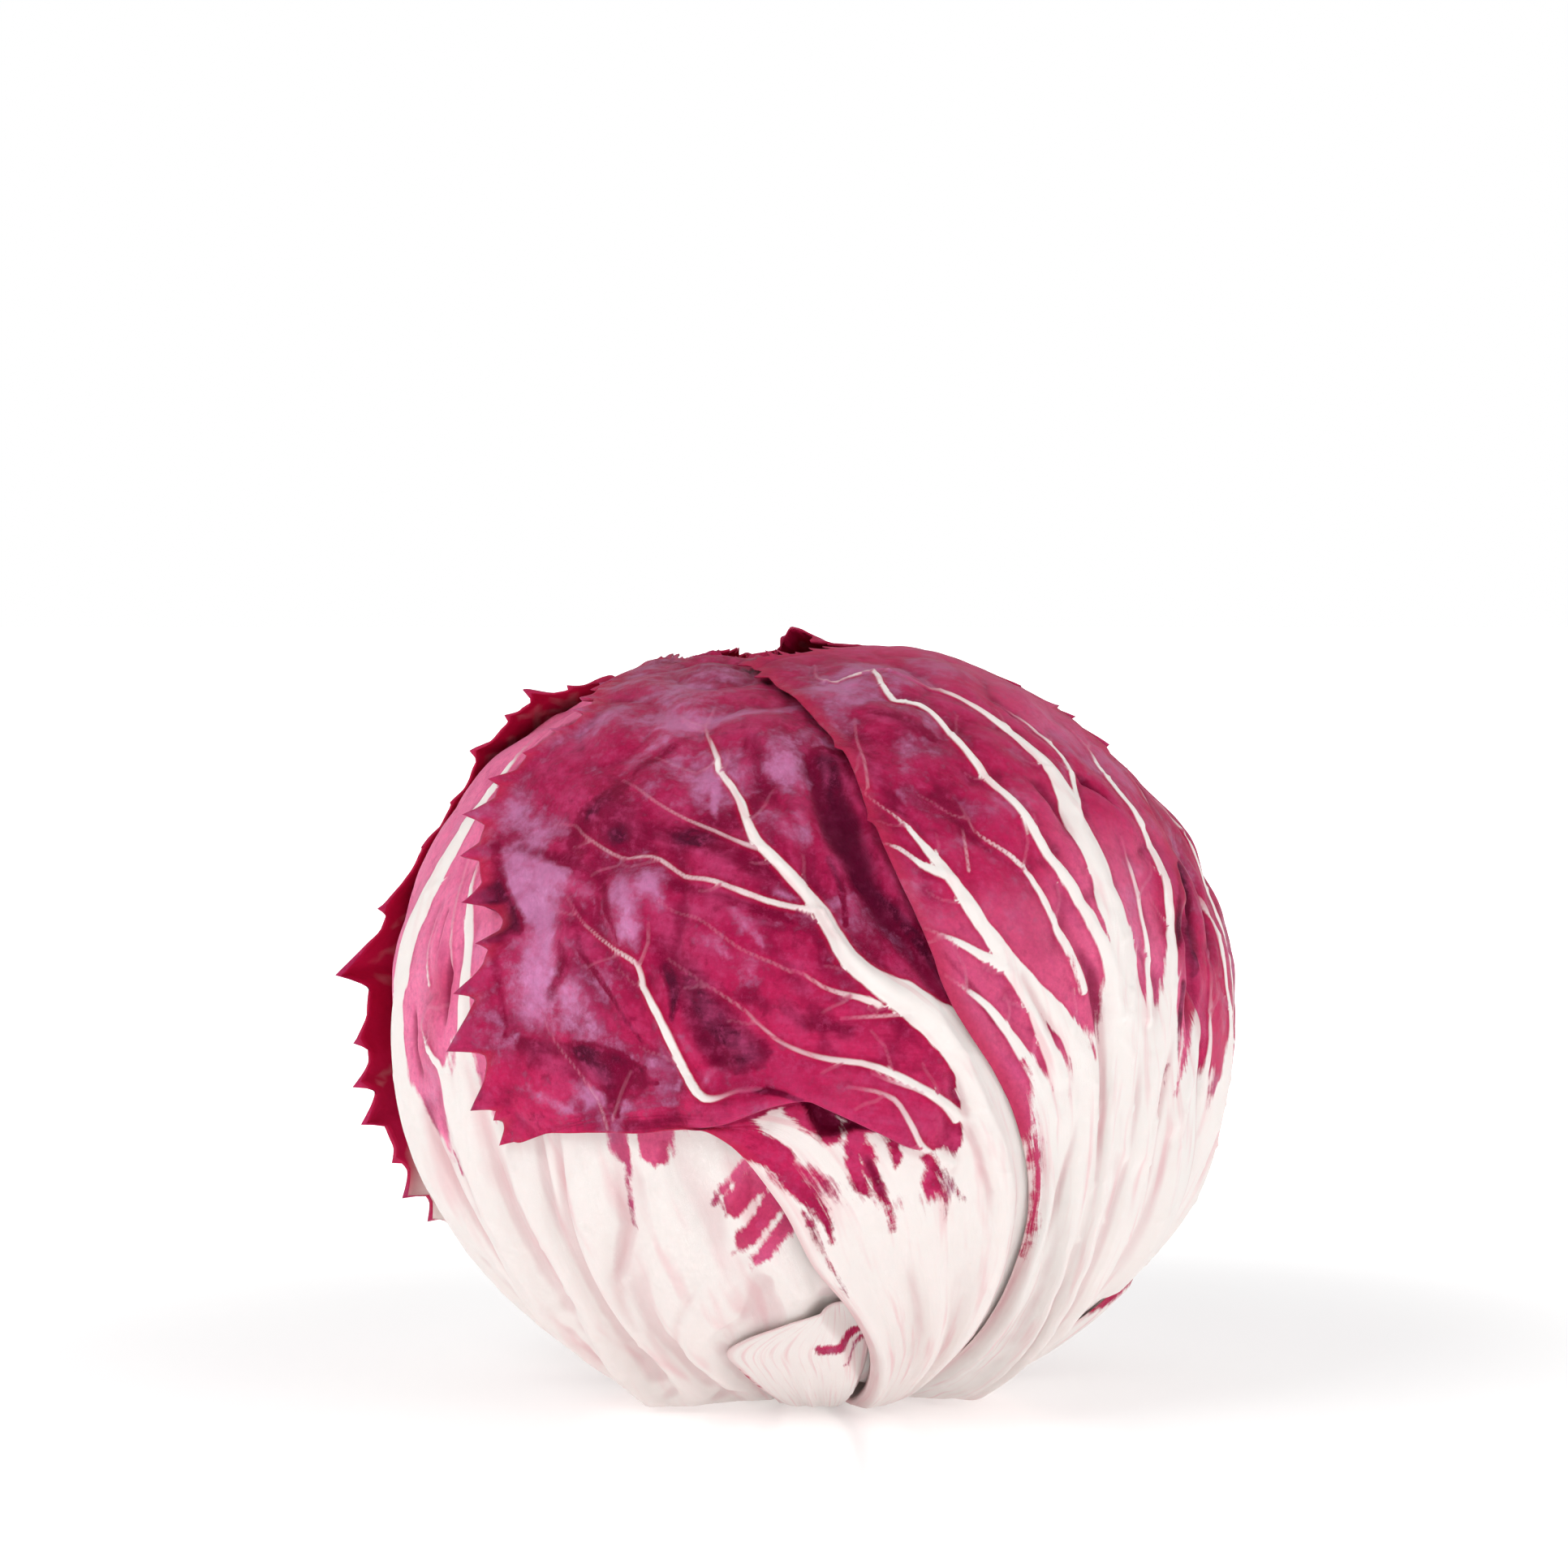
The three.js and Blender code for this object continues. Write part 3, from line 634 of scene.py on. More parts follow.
# Places are [turn, rise] in degrees, one degree of a great circle being about 1 mm. A leaf's rows go from
# its base to its tip, each [left edge, midrib, right edge]; lines of ribs go from their thick end to their
# fine end.
frontLeaf = {
    "rows": [
        [[11, 15], [27, 14], [46, 15]], [[14.5, 29], [29, 30], [48, 30]], [[11.5, 41], [28.5, 44], [49, 44]],
        [[6, 52], [28, 54], [48, 56]], [[0, 61], [27.5, 64], [46, 66]], [[-5, 72], [26.5, 73], [44, 76]],
        [[-13, 80.8], [23.5, 81], [40, 84]], [[-24, 80.0], [20.3, 88.5], [35, 92]],
        [[-36, 79.2], [15, 95], [30, 99]],
        [[-43, 77.8], [7.5, 100.8], [25, 106]], [[-44.5, 86], [2, 106.4], [21, 113]],
        [[-47, 94], [-1.6, 112], [19, 120]], [[-45.5, 102.5], [-7, 117.5], [17, 126]],
        [[-51, 111], [-12, 122.8], [15, 133]],
        [[-55, 117.5], [-18, 131], [12, 141]], [[-58, 125], [-24, 139], [7, 150]],
        [[-56, 132], [-31, 145], [0, 158]],
        [[-56, 139], [-42, 152], [-18, 167]], [[-76, 147], [-66, 160], [-60, 173]],
        [[-106, 154], [-104, 162], [-122, 172]],
    ],
    "lift": [1.6, 0.4, -2.2],
    "flare": {"side": -1, "from": 0.84, "heights": [[20, -1.3], [58, -1.1], [72, 0], [79, 0], [82, 0.8],
                                                    [90, 1.3], [104, 1.8], [110, 0.9], [118, 1.5],
                                                    [130, 1.2], [142, 1.0], [152, 0]]},
    "spacing": 0.5,
    "seed": 11,
    "ripe": 1.0,
    "puff": 1.0,
    "wrinkle": 1.2,
    "flutes": {"count": 2.4, "high": 0.9, "from": 0.16, "to": 0.4},
    "teeth": {
        "seed": 3, "start": 0.5, "pitch": 6.5, "tall": 3.4, "from": 0.86,
        "left": [[-43, 77.6, 2.8, 2.8], [-44, 81, 1.5, 1.6], [-45, 83, 4.4, 5.2], [-46, 90.3, 5.0, 6.0],
                 [-47.5, 97, 3.4, 3.8], [-46.5, 102.4, 2.0, 2.4], [-50, 106.5, 3.6, 3.0],
                 [-53.5, 112.9, 2.6, 3.2], [-56, 118.3, 3.4, 4.2], [-58, 124, 2.0, 3.0],
                 [-56, 129, 1.2, 2.0], [-55, 134, 1.6, 2.4], [-56, 139, 2.4, 3.0], [-63, 143, 2.4, 3.2],
                 [-72, 146, 1.8, 2.4], [-82, 149, 2.6, 3.2], [-93, 152, 2.0, 2.8]],
        "right": [],
    },
    "ribs": [
        stroke([[26, 30], [28, 50], [27.5, 64], [27.5, 72.5], [23.5, 80.5], [20.3, 88.5], [17.8, 92.5],
                [14.8, 95], [11, 97.5], [7.5, 99.8], [4.5, 102.5], [2.7, 105.6], [0.9, 108.7]], 6.5, 1.3,
               1.1, 1.4, taper=1.2),
        stroke([[11, 97.5], [7.5, 99.8], [4.5, 102.5], [2.7, 105.6], [0.9, 108.7], [-3.2, 113.4],
                [-6.1, 116.1], [-8.6, 118.3], [-10.4, 121.4], [-11.8, 124.3], [-14, 127.2], [-17, 129.8],
                [-17.6, 131.6], [-21, 135.7], [-24.3, 139.5], [-26.1, 145.3]], 2.1, 0.12, 1.4, 0.4,
               taper=0.5),
        stroke([[1, 108.6], [-4.7, 109.5], [-9.1, 110.7], [-14, 112.4], [-16, 112.7], [-18.4, 113.1],
                [-21, 114.5], [-24.1, 115.8], [-27.8, 115.4], [-30.3, 115.8], [-33.4, 117], [-37, 118.5],
                [-39.1, 119.7], [-44, 119.9]], 0.46, 0.1, 0.8, 0.2),
        stroke([[-8.2, 117], [-12.1, 118.5], [-15.3, 119.9], [-20.4, 121.6], [-25.6, 123.6], [-29.9, 125.6],
                [-33.9, 127.2]], 0.32, 0.08, 0.6, 0.2),
        stroke([[-6.4, 86.6], [-9.1, 86.4], [-11.3, 85.5], [-13.5, 85.2], [-15.5, 87], [-16.9, 89.5],
                [-18.3, 92.2], [-19.9, 95.1], [-22.4, 98.6], [-23.3, 101.3], [-27.3, 103.2], [-31.8, 105.9],
                [-33.3, 107.2], [-36.1, 109.6]], 0.95, 0.12, 1.3, 0.4, pointed=True, taper=0.8),
        stroke([[-22.9, 101.5], [-21.9, 104], [-22.2, 106.5]], 0.16, 0.08, 0.3, 0.1),
        stroke([[-27.3, 80.3], [-29, 84.2], [-31, 86.6], [-32.8, 88.6], [-35.3, 91], [-37.1, 93.5]], 0.18,
               0.08, 0.5, 0.1),
        stroke([[-26.6, 81.4], [-25.8, 83.6], [-24.9, 85.7], [-23.9, 87.8]], 0.12, 0.06, 0.4, 0.1),
        stroke([[-3, 100.8], [-5.6, 102], [-9.8, 103.7], [-14.3, 106.7], [-16.6, 107.7], [-19.2, 108.3],
                [-21.1, 109.4]], 0.14, 0.07, 0.3, 0.1),
        stroke([[8, 96.6], [5.7, 97.5], [2.9, 98.2], [0.9, 99], [-1.4, 100.5], [-3, 101]], 0.45, 0.15, 0.6,
               0.2),
        stroke([[12, 95.6], [9.8, 95.3], [3.2, 95]], 0.35, 0.1, 0.5, 0.1),
        stroke([[22, 80], [18, 83], [14.5, 85.5], [10, 88], [5.7, 89.5], [1.9, 90], [-1.4, 90.9],
                [-4.7, 92.5], [-8.5, 95.7], [-12.5, 98.3], [-19.4, 102.2]], 1.1, 0.05, 0.8, 0.2, taper=0.45),
        stroke([[18, 76], [14.7, 78], [13, 79.6], [12, 81.5], [10.8, 83.6], [9.6, 85.2], [7.3, 86.2],
                [4, 86.7]], 0.55, 0.2, 0.6, 0.2),
        stroke([[18, 82], [15.5, 84.8], [12.1, 86.5], [9.1, 87.4], [7, 88.3]], 0.6, 0.15, 0.6, 0.2),
        stroke([[-17.5, 131.4], [-21.4, 129.7], [-27, 130.9], [-30.2, 131.7]], 0.14, 0.06, 0.3, 0.1),
        stroke([[-24.3, 139.5], [-29, 140.5], [-33, 142]], 0.14, 0.06, 0.3, 0.1),
    ],
    "furrows": [
        furrow([[3, 135], [3.8, 128], [5.2, 121], [6.4, 116], [8, 111], [10.5, 106.5], [14, 101.5], [18, 95],
                [21, 90.5]], 3.0, 1.2, 2.4, 1.4, 0.3, pointed=True),
        furrow([[-7.5, 86.6], [-4, 86], [-1.5, 85.3]], 1.0, 0.8, 2.0),
        furrow([[-41, 137], [-30, 142], [-18.8, 146], [-6, 149], [6, 149]], -1.2, -1.4, 3.0, 0.5, 0.5),
        furrow([[-14, 112], [-7, 117], [-3, 122], [0, 127]], -0.9, -0.9, 2.6, 0.4, 0.4),
        furrow([[-34, 101], [-29, 96], [-24, 92], [-19, 88]], -0.8, -0.8, 2.6, 0.4, 0.4),
        furrow([[-3, 138], [0, 129], [2, 121], [5, 113]], 1.6, 0.8, 5.0),
        furrow([[-12, 131], [-8, 126], [-3, 121.5]], 0.9, 0.5, 5.0),
        furrow([[-7, 88], [-12, 90], [-15.5, 95], [-19, 100]], 1.4, 0.7, 6.0),
        furrow([[-4, 95], [-8, 98], [-11, 101]], 0.9, 0.4, 5.0),
        furrow([[-25, 93.5], [-30, 99], [-35, 103.5]], 0.9, 0.5, 4.0),
        furrow([[-49.5, 106], [-47, 105.5], [-44.5, 104], [-44, 102]], 3.0, 1.2, 6.0, 0.4, 0.3),
        furrow([[6, 79], [7.5, 75.5], [9, 72.5], [10.4, 69]], 1.0, 0.5, 2.6),
        furrow([[-1.2, 70.3], [0, 67], [1, 64.5], [3.3, 60.5]], 0.9, 0.4, 2.4),
        furrow([[16, 92], [17, 88], [20, 81], [24, 72], [26, 62]], 0.6, 0.9, 3.4),
        furrow([[12, 66], [15, 58], [19, 48], [21, 36]], 0.5, 0.8, 3.8),
    ],
    "dips": [
        dip([[39, 48], [36.5, 60], [34, 70], [30.5, 79.5]], 0.3, 0.6, 9),
        dip([[10, 126], [8, 132], [2, 142], [-7, 150.5], [-22, 160]], 0.5, 0.9, 7),
    ],
    "folds": [
        {"line": [[-17.5, 80.6], [-10.7, 82.2], [-5.8, 84], [-1.3, 84.9], [1.3, 84], [5.8, 82], [8.5, 80.7],
                  [12.7, 78.7], [17, 77]],
         "high": 3.0, "edge": 0.4, "reach": 8.0, "hollow": 2.6,
         "shade": [[0, 0], [0.42, 0], [0.45, 0.6], [0.5, 2.2], [0.56, 4.2], [0.61, 3.4], [0.66, 1.2],
                   [0.7, 0.4], [0.9, 0.2], [1, 0]]},
    ],
    "patches": [
        stroke([[-12, 81.5], [-8, 79.5], [-4.5, 77.3], [-2.3, 75.6]], 2.9, 1.8),
        stroke([[-3.5, 75.2], [-1, 72.8], [0.7, 70.5], [1.8, 68.3], [2.3, 66.2]], 1.7, 0.4),
        stroke([[-1.2, 70.3], [0, 67], [1, 64.5], [3.3, 60.5], [5, 57.5]], 0.4, 0.12),
        stroke([[-1.8, 84], [0.5, 82], [3.2, 79.6]], 2.2, 1.5),
        stroke([[5.2, 81], [5, 77], [5.6, 74.5], [7.4, 72.3]], 1.4, 0.9),
        stroke([[9.2, 81.5], [10.3, 78.5], [10.2, 76.3]], 1.2, 0.4),
        stroke([[6.2, 78.5], [7.6, 75], [9, 72], [10.3, 69], [10.8, 67]], 1.2, 0.25),
        stroke([[14.3, 77.3], [17, 74.5], [20.2, 71]], 0.8, 0.25),
    ],
    "redFrom": [[-60, 70], [-20, 76], [-14, 79], [-4, 84], [1.3, 82.5], [5.8, 80], [8.5, 79.5], [11, 77.5],
                [13, 80.5], [15, 76.5], [16.5, 80.5], [18.5, 78.5], [19.5, 84], [21, 88], [24, 92], [28, 95],
                [34, 98], [50, 100]],
    "ripeAt": [[2, 88, 7, -0.5], [12, 84, 8, -0.55], [-2, 74, 10, -0.5], [6, 96, 5, -0.4]],
    "paintedSheen": [[-50, 126, 8, 0.4], [-60, 148, 16, 0.6], [-30, 143, 10, 0.5], [-38, 101, 13, 0.35],
              [-22, 127, 9, 0.5], [-6, 132, 7, 0.4], [-30, 87, 8, 0.3]],
    "sheens": [
        tint([[-46.5, 114], [-44, 111], [-41.5, 107.5]], 2.9, 0.9),
        tint([[-40.7, 112.4], [-34.4, 111.6], [-31.4, 109]], 1.8, 0.95),
        tint([[-39, 106.5], [-37, 104]], 2.4, 0.7),
        tint([[-38.5, 101.5], [-38, 98], [-38.5, 94.5], [-37, 93.3]], 3.0, 0.7),
        tint([[-33, 97.5], [-31.5, 94.5]], 2.0, 0.7),
        tint([[-30, 84.6], [-24, 83.4], [-18, 83.8]], 1.1, 0.5),
        tint([[-27.9, 110.5], [-25.2, 109.3], [-24.6, 106.5], [-23.7, 104.6]], 2.2, 0.8),
        tint([[-23, 112], [-20.7, 108.4], [-17.6, 106.4], [-14.1, 104.4], [-10.8, 102.4]], 1.3, 0.85),
        tint([[-10.3, 108.6], [-9.4, 107.1], [-8, 105.6], [-6.7, 104]], 0.9, 0.9),
        tint([[-8.5, 102.9], [-8, 100.5]], 1.0, 0.6),
        tint([[-5.3, 111.3], [-3.1, 110.5]], 0.6, 0.7),
        tint([[-6.6, 123.5], [-4.9, 121.4], [-2.5, 118.6], [0.4, 115.6]], 1.0, 0.5),
        tint([[-2.3, 123.2], [-1.3, 120.6], [0.4, 117]], 0.8, 0.4),
        tint([[-16.7, 126.7], [-15.9, 123], [-15.1, 121.3]], 0.5, 0.8),
        tint([[-55, 120], [-48, 119.6], [-40, 118.5]], 3.0, 0.5),
        tint([[-6.8, 147.4], [-12.7, 144.9], [-21, 142], [-28.1, 139.1], [-35, 137.9]], 1.9, 0.8),
        tint([[-30.7, 135.5], [-33.6, 132.6], [-34.8, 129.8], [-35.4, 128]], 1.1, 0.6),
        tint([[-36.9, 83.9], [-32, 81.9]], 0.9, 0.7),
        tint([[-13.2, 87.6], [-11.8, 89.1], [-10.7, 88]], 0.9, 0.8),
        tint([[-16.2, 98.2], [-19.9, 100.6]], 0.9, 0.4),
        tint([[1, 132], [3.4, 126], [5, 121]], 0.8, 0.6),
    ],
    "shadeAndDarkRedStrokes": [
        tint([[-47.5, 115.5], [-42.2, 115], [-36.5, 114.2], [-31.1, 112.2], [-28.8, 108.1], [-26.5, 104]],
             1.0, 0.7),
        tint([[-48.4, 108.7], [-46.1, 107.2], [-44, 105.7], [-42.1, 104.3]], 1.5, 1.7),
        tint([[-51, 115], [-48, 110.5], [-44.5, 103], [-43.5, 97], [-42.5, 91]], 1.0, 0.7),
        tint([[-37.1, 120.4], [-33, 121.5], [-29.6, 117.8]], 3.0, 0.9),
        tint([[-17, 119.6], [-14, 116.8], [-8.8, 114.7], [-5, 113.2]], 2.2, 0.9),
        tint([[-19, 111.5], [-15.4, 111], [-10.7, 109.9], [-5.8, 108.4], [-3, 107.1]], 1.5, 0.9),
        tint([[-19.3, 101.1], [-17.9, 97.9], [-18.1, 94.6]], 0.6, 1.5),
        tint([[-15.5, 98.5], [-13.8, 95.6], [-11.3, 93.4], [-8.5, 91.1], [-9.6, 88.3]], 2.6, 1.0),
        tint([[-30.9, 89.5], [-28.6, 88.1], [-26.9, 85.6], [-25.9, 82]], 1.4, 0.9),
        tint([[-40, 90.3], [-34, 90.2], [-30.5, 90.2], [-26, 89.6], [-22, 88]], 1.0, 0.8),
        tint([[-26.3, 136.1], [-28.2, 133.2], [-30.6, 130.4], [-32.1, 128.1]], 1.4, 0.8),
        tint([[-32.7, 125.9], [-35.3, 123.7], [-37.1, 120.8]], 1.8, 0.8),
        tint([[-32.4, 104.3], [-31.9, 102.7], [-30.4, 101], [-28.3, 98.8], [-26.1, 96.4], [-22, 91.5]], 0.3,
             1.1),
        tint([[2.6, 133], [3.4, 128.5], [4.6, 121], [5.2, 116], [7, 112]], 2.6, 1.6),
        tint([[7, 112.5], [11.4, 108.3], [13.6, 105.5], [15.1, 103], [16.4, 100], [17.6, 97.5]], 1.3, 1.8),
        tint([[-7, 86.4], [-4, 85.9], [-1.6, 85.2]], 0.4, 1.5),
        tint([[-19.5, 104], [-16.5, 100.4], [-13.4, 96.7], [-9, 92]], 3.0, 0.9),
        tint([[-13, 91.5], [-9, 90.3], [-5, 91]], 2.6, 0.9),
        tint([[-38, 88.5], [-33, 87.6], [-26.4, 87.5], [-20, 86.5]], 2.2, 0.9),
        tint([[-20, 118], [-13, 121], [-8, 127]], 2.4, 0.7),
        tint([[2, 116.5], [3.8, 111.6], [4.2, 107.1]], 0.4, 1.2),
        tint([[-12, 136], [-10, 130], [-6, 125]], 2.0, 0.8),
        tint([[-24, 81], [-16, 82.4], [-10, 83.4]], 1.0, 0.8),
        tint([[-36, 97], [-34.5, 100.5], [-35.5, 104]], 1.2, 0.8),
        tint([[4, 93.5], [0, 94.5], [-5, 96.5]], 1.6, 0.8),
        tint([[-30, 118], [-23, 119], [-17, 117.5]], 1.4, 0.8),
    ],
}

# painted shade where the right leaf's side and the leaf behind it sink between their ribs
pocketShade = [
    tint([[65, 110.5], [62, 106.5], [59, 104], [57, 101.5]], 1.6, 1.7),
    tint([[71, 112], [68, 107], [65.5, 102.7], [63.7, 97.2]], 1.2, 2.2),
    tint([[57.6, 96.5], [56.9, 94], [56.1, 89.1], [56, 85]], 0.7, 2.0),
]

rightLeaf = {
    "rows": [
        [[34, 15], [56, 14], [78, 15]], [[36, 30], [52, 30], [77, 30]], [[36, 44], [48, 44], [76, 44]],
        [[33.5, 60], [43.5, 60], [70, 60]], [[31.5, 70], [42.5, 71], [67, 72]],
        [[28, 79.5], [42.7, 82], [63.5, 82]],
        [[24, 87], [43.2, 90.5], [61.5, 91]], [[17.8, 96], [43.7, 98.5], [61.5, 100]],
        [[14.5, 106], [45.5, 106.5], [64, 109]], [[11, 115], [46.5, 116], [68, 118]],
        [[8.3, 125.5], [46.4, 127.5], [74, 127]], [[6, 134], [46.2, 136], [79, 136]],
        [[0, 143], [42, 144], [83, 144]], [[-8, 151], [35, 152], [86, 152]],
        [[-24, 160], [18, 162], [90, 161]],
        [[-46, 165], [-14, 172], [92, 170]],
    ],
    "lift": [-0.2, 0.3, 0.4],
    "flare": {"side": -1, "from": 0.5, "heights": [[20, -0.9], [70, -0.9], [84, -0.2], [96, 0.6], [104, 1.1],
                                                   [116, 0.8], [124, 0], [132, -0.5], [170, -0.5]]},
    "rim": 0.12,
    "thinFor": 9,
    "spacing": 0.5,
    "seed": 21,
    "ripe": 0.22,
    "puff": 0.9,
    "wrinkle": 0.8,
    "flesh": 0.1,
    "flutes": {"count": 2.6, "high": 0.9, "from": 0.2, "to": 0.5},
    "teeth": {
        "seed": 8, "start": 0.5, "pitch": 7, "tall": 2.6, "from": 0.88,
        "left": [[8, 122, 0.8, 2.4], [5, 136, 0.9, 2.4], [-20, 159, 2.0, 3], [-40, 164, 2.0, 3]],
        "right": [[63, 105, 1.2, 2.4], [66, 113, 1.4, 2.6], [75, 128, 1.6, 2.4], [82, 142, 2.4, 2.8],
                  [87, 154, 2.4, 2.8]],
    },
    "ribs": [
        stroke([[54, 25], [49.5, 44], [46.5, 60], [45.8, 72], [45.8, 83.7], [44.9, 91.9], [44.5, 98.2],
                [44.3, 104], [44.4, 108], [44.6, 114], [45.3, 122], [47.3, 128.5], [46.5, 134],
                [46.5, 138.5], [44, 142.5], [38, 150], [26, 158]], 4.0, 0.3, 1.7, 0.5, taper=1.6),
        stroke([[50, 30], [43.5, 50], [41, 65], [39.6, 78], [38.1, 86.7], [35.8, 90.2], [33.4, 93.8],
                [29.6, 97.9], [26.1, 102], [23.1, 106.5], [21.2, 110], [19.3, 113.2], [17.1, 117.2],
                [14.6, 121], [11, 124.8], [7.4, 127.6], [5.3, 131.2]], 3.8, 0.2, 1.3, 0.3),
        stroke([[42.2, 94], [41.2, 101], [39.9, 106], [38.7, 110], [36.9, 114.5], [34.9, 119.5],
                [33.4, 124.3], [31.2, 129.5], [30, 136.8], [29, 141], [27, 145], [22, 147], [21, 152],
                [22, 157], [8, 155.5], [1, 157], [0, 165]], 1.3, 0.25, 1.1, 0.4, taper=0.7),
        stroke([[20, 112.6], [15.5, 115.3], [12.5, 117.5], [9.5, 118.3]], 0.7, 0.25, 0.7, 0.2),
        stroke([[37, 97.5], [36.2, 100.4], [35.3, 103.3], [34.4, 105.7], [32.9, 110.6], [31.5, 114.4],
                [28.3, 117.5], [25.6, 120], [24.6, 124.3]], 0.8, 0.15, 0.7, 0.2),
        stroke([[9.1, 127.5], [9.3, 132], [8.9, 137.2], [9.5, 143]], 0.2, 0.1, 0.6, 0.2),
        stroke([[22.5, 114], [23.8, 120.8]], 0.3, 0.15, 0.4, 0.1),
        stroke([[32.8, 86.5], [31.2, 90.5], [30, 94], [28.2, 97.4], [25.9, 100.6], [22.4, 102.6],
                [18.6, 104.7], [14.4, 106.4]], 1.4, 0.35, 0.9, 0.3),
        stroke([[33, 81.2], [30.2, 85.5], [27.7, 89.6], [25.6, 92.6], [22.7, 96], [19.5, 98.4], [17, 100.2]],
               1.3, 0.25, 0.7, 0.2),
        stroke([[48, 76], [50.5, 86.8], [53, 94.7], [55.5, 101], [57.5, 106.1], [58.7, 110], [60.5, 115],
                [61.2, 121], [63.5, 127.5], [68, 132.5], [73, 138]], 2.4, 0.3, 1.2, 0.3, taper=0.7),
        stroke([[48.3, 93], [49.4, 99], [50.6, 105.5], [52, 112], [53.5, 117.5]], 0.8, 0.2, 0.7, 0.2),
        stroke([[44.5, 95], [46, 99.5], [48.2, 103.5]], 0.5, 0.2, 0.5, 0.2),
        stroke([[58, 78], [62, 92], [65.5, 102], [68, 108], [70, 112], [69.5, 116], [70.5, 121], [75, 130]],
               1.5, 0.2, 0.9, 0.3),
        stroke([[46.5, 122], [52, 128], [56, 136], [56, 146]], 0.7, 0.2, 0.6, 0.2),
        stroke([[68, 20], [66, 44], [62, 64], [59, 80]], 3.0, 1.6, 0.9, 0.7),
        stroke([[60, 20], [57, 44], [52, 62], [50, 80]], 3.0, 2.2, 0.9, 0.8),
    ],
    "furrows": [
        furrow([[41, 129.5], [42, 124.8], [42.8, 121], [43, 114]], 1.2, 0.5, 3.4),
        furrow([[34.5, 109], [36.6, 104.5], [38.2, 100], [39.4, 95], [40.4, 88], [40.6, 80.5], [41.2, 74.5],
                [42, 66]], 0.7, 1.2, 3.4),
        furrow([[25, 102], [28, 99.5], [30.3, 95.5], [32, 92], [33, 89]], 0.8, 1.0, 3.4),
        furrow([[56, 92], [54.5, 85], [53, 77], [54, 70], [53, 56]], 1.2, 0.6, 3.6),
        furrow([[46, 94], [46.5, 82], [46, 68], [47, 54]], 0.7, 0.5, 3.0),
        furrow([[69.5, 109], [65, 105.5], [62, 102.5], [61, 98], [59.5, 93], [58.5, 88]], 2.6, 2.2, 2.6, 0.6,
               0.4, pointed=True),
        furrow([[54.5, 130], [56, 125.5], [57, 121]], 1.6, 1.2, 2.6, 0.4, 0.2, pointed=True),
        furrow([[30.5, 81], [32, 76], [33.5, 70], [34, 60]], 1.0, 0.5, 2.6),
        furrow([[36.5, 84], [36.2, 76], [36, 66], [37, 52]], 0.9, 0.5, 2.6),
    ],
    "dips": [dip([[59, 20], [59.5, 34], [64, 45], [74, 51], [88, 54]], 0.4, 0.4, 5)],
    "patches": [
        stroke([[29.4, 82], [30.8, 77.5], [32.2, 71], [33.3, 65], [33.9, 60]], 1.0, 0.3, pointed=True),
        stroke([[34.9, 101.6], [35.9, 97.6], [37.3, 93], [38.5, 88.5]], 0.5, 0.15),
        stroke([[27.5, 88.5], [28.4, 86], [28.8, 83], [29.4, 79], [30.4, 74]], 0.5, 0.2),
        stroke([[60, 98], [58.8, 91], [57.8, 86], [56.8, 82]], 1.5, 0.3, pointed=True),
        stroke([[68.5, 91], [67, 86], [67.4, 82]], 0.9, 0.2),
        stroke([[54.7, 86], [53.3, 78], [54, 71]], 0.35, 0.1),
    ],
    "redFrom": [[-30, 100], [15, 88], [22, 84], [26, 81.5], [28, 83], [29.5, 86], [31, 87], [35, 91],
                [38, 94], [42, 99], [45, 95.5], [50, 96.5], [54, 99], [57, 95], [60, 90], [64, 96], [68, 91],
                [72, 94], [78, 90], [90, 90]],
    "ripeAt": [[16, 128, 12, 0.65], [6, 148, 18, 0.9], [30, 138, 9, 0.5], [13, 117, 7, 0.3],
               [30, 117, 5, 0.2], [56, 126, 7, 0.3], [62, 106, 6, 0.6], [48, 104, 9, -0.1]],
    "paintedSheen": [[62, 140, 12, 0.5], [70, 128, 7, 0.6], [30, 150, 14, 0.4], [8, 152, 12, 0.4],
              [13, 112, 5, 0.5], [54, 112, 7, 0.4]],
    "shadeAndDarkRedStrokes": pocketShade + [
        tint([[9, 134], [12, 128], [15, 122]], 1.6, 0.8),
        tint([[21, 126], [24, 121], [27, 117]], 1.8, 0.8),
        tint([[14, 143], [20, 140], [26, 136]], 1.8, 0.8),
        tint([[17, 103], [21, 98], [25, 92]], 0.8, 0.7),
    ],
}

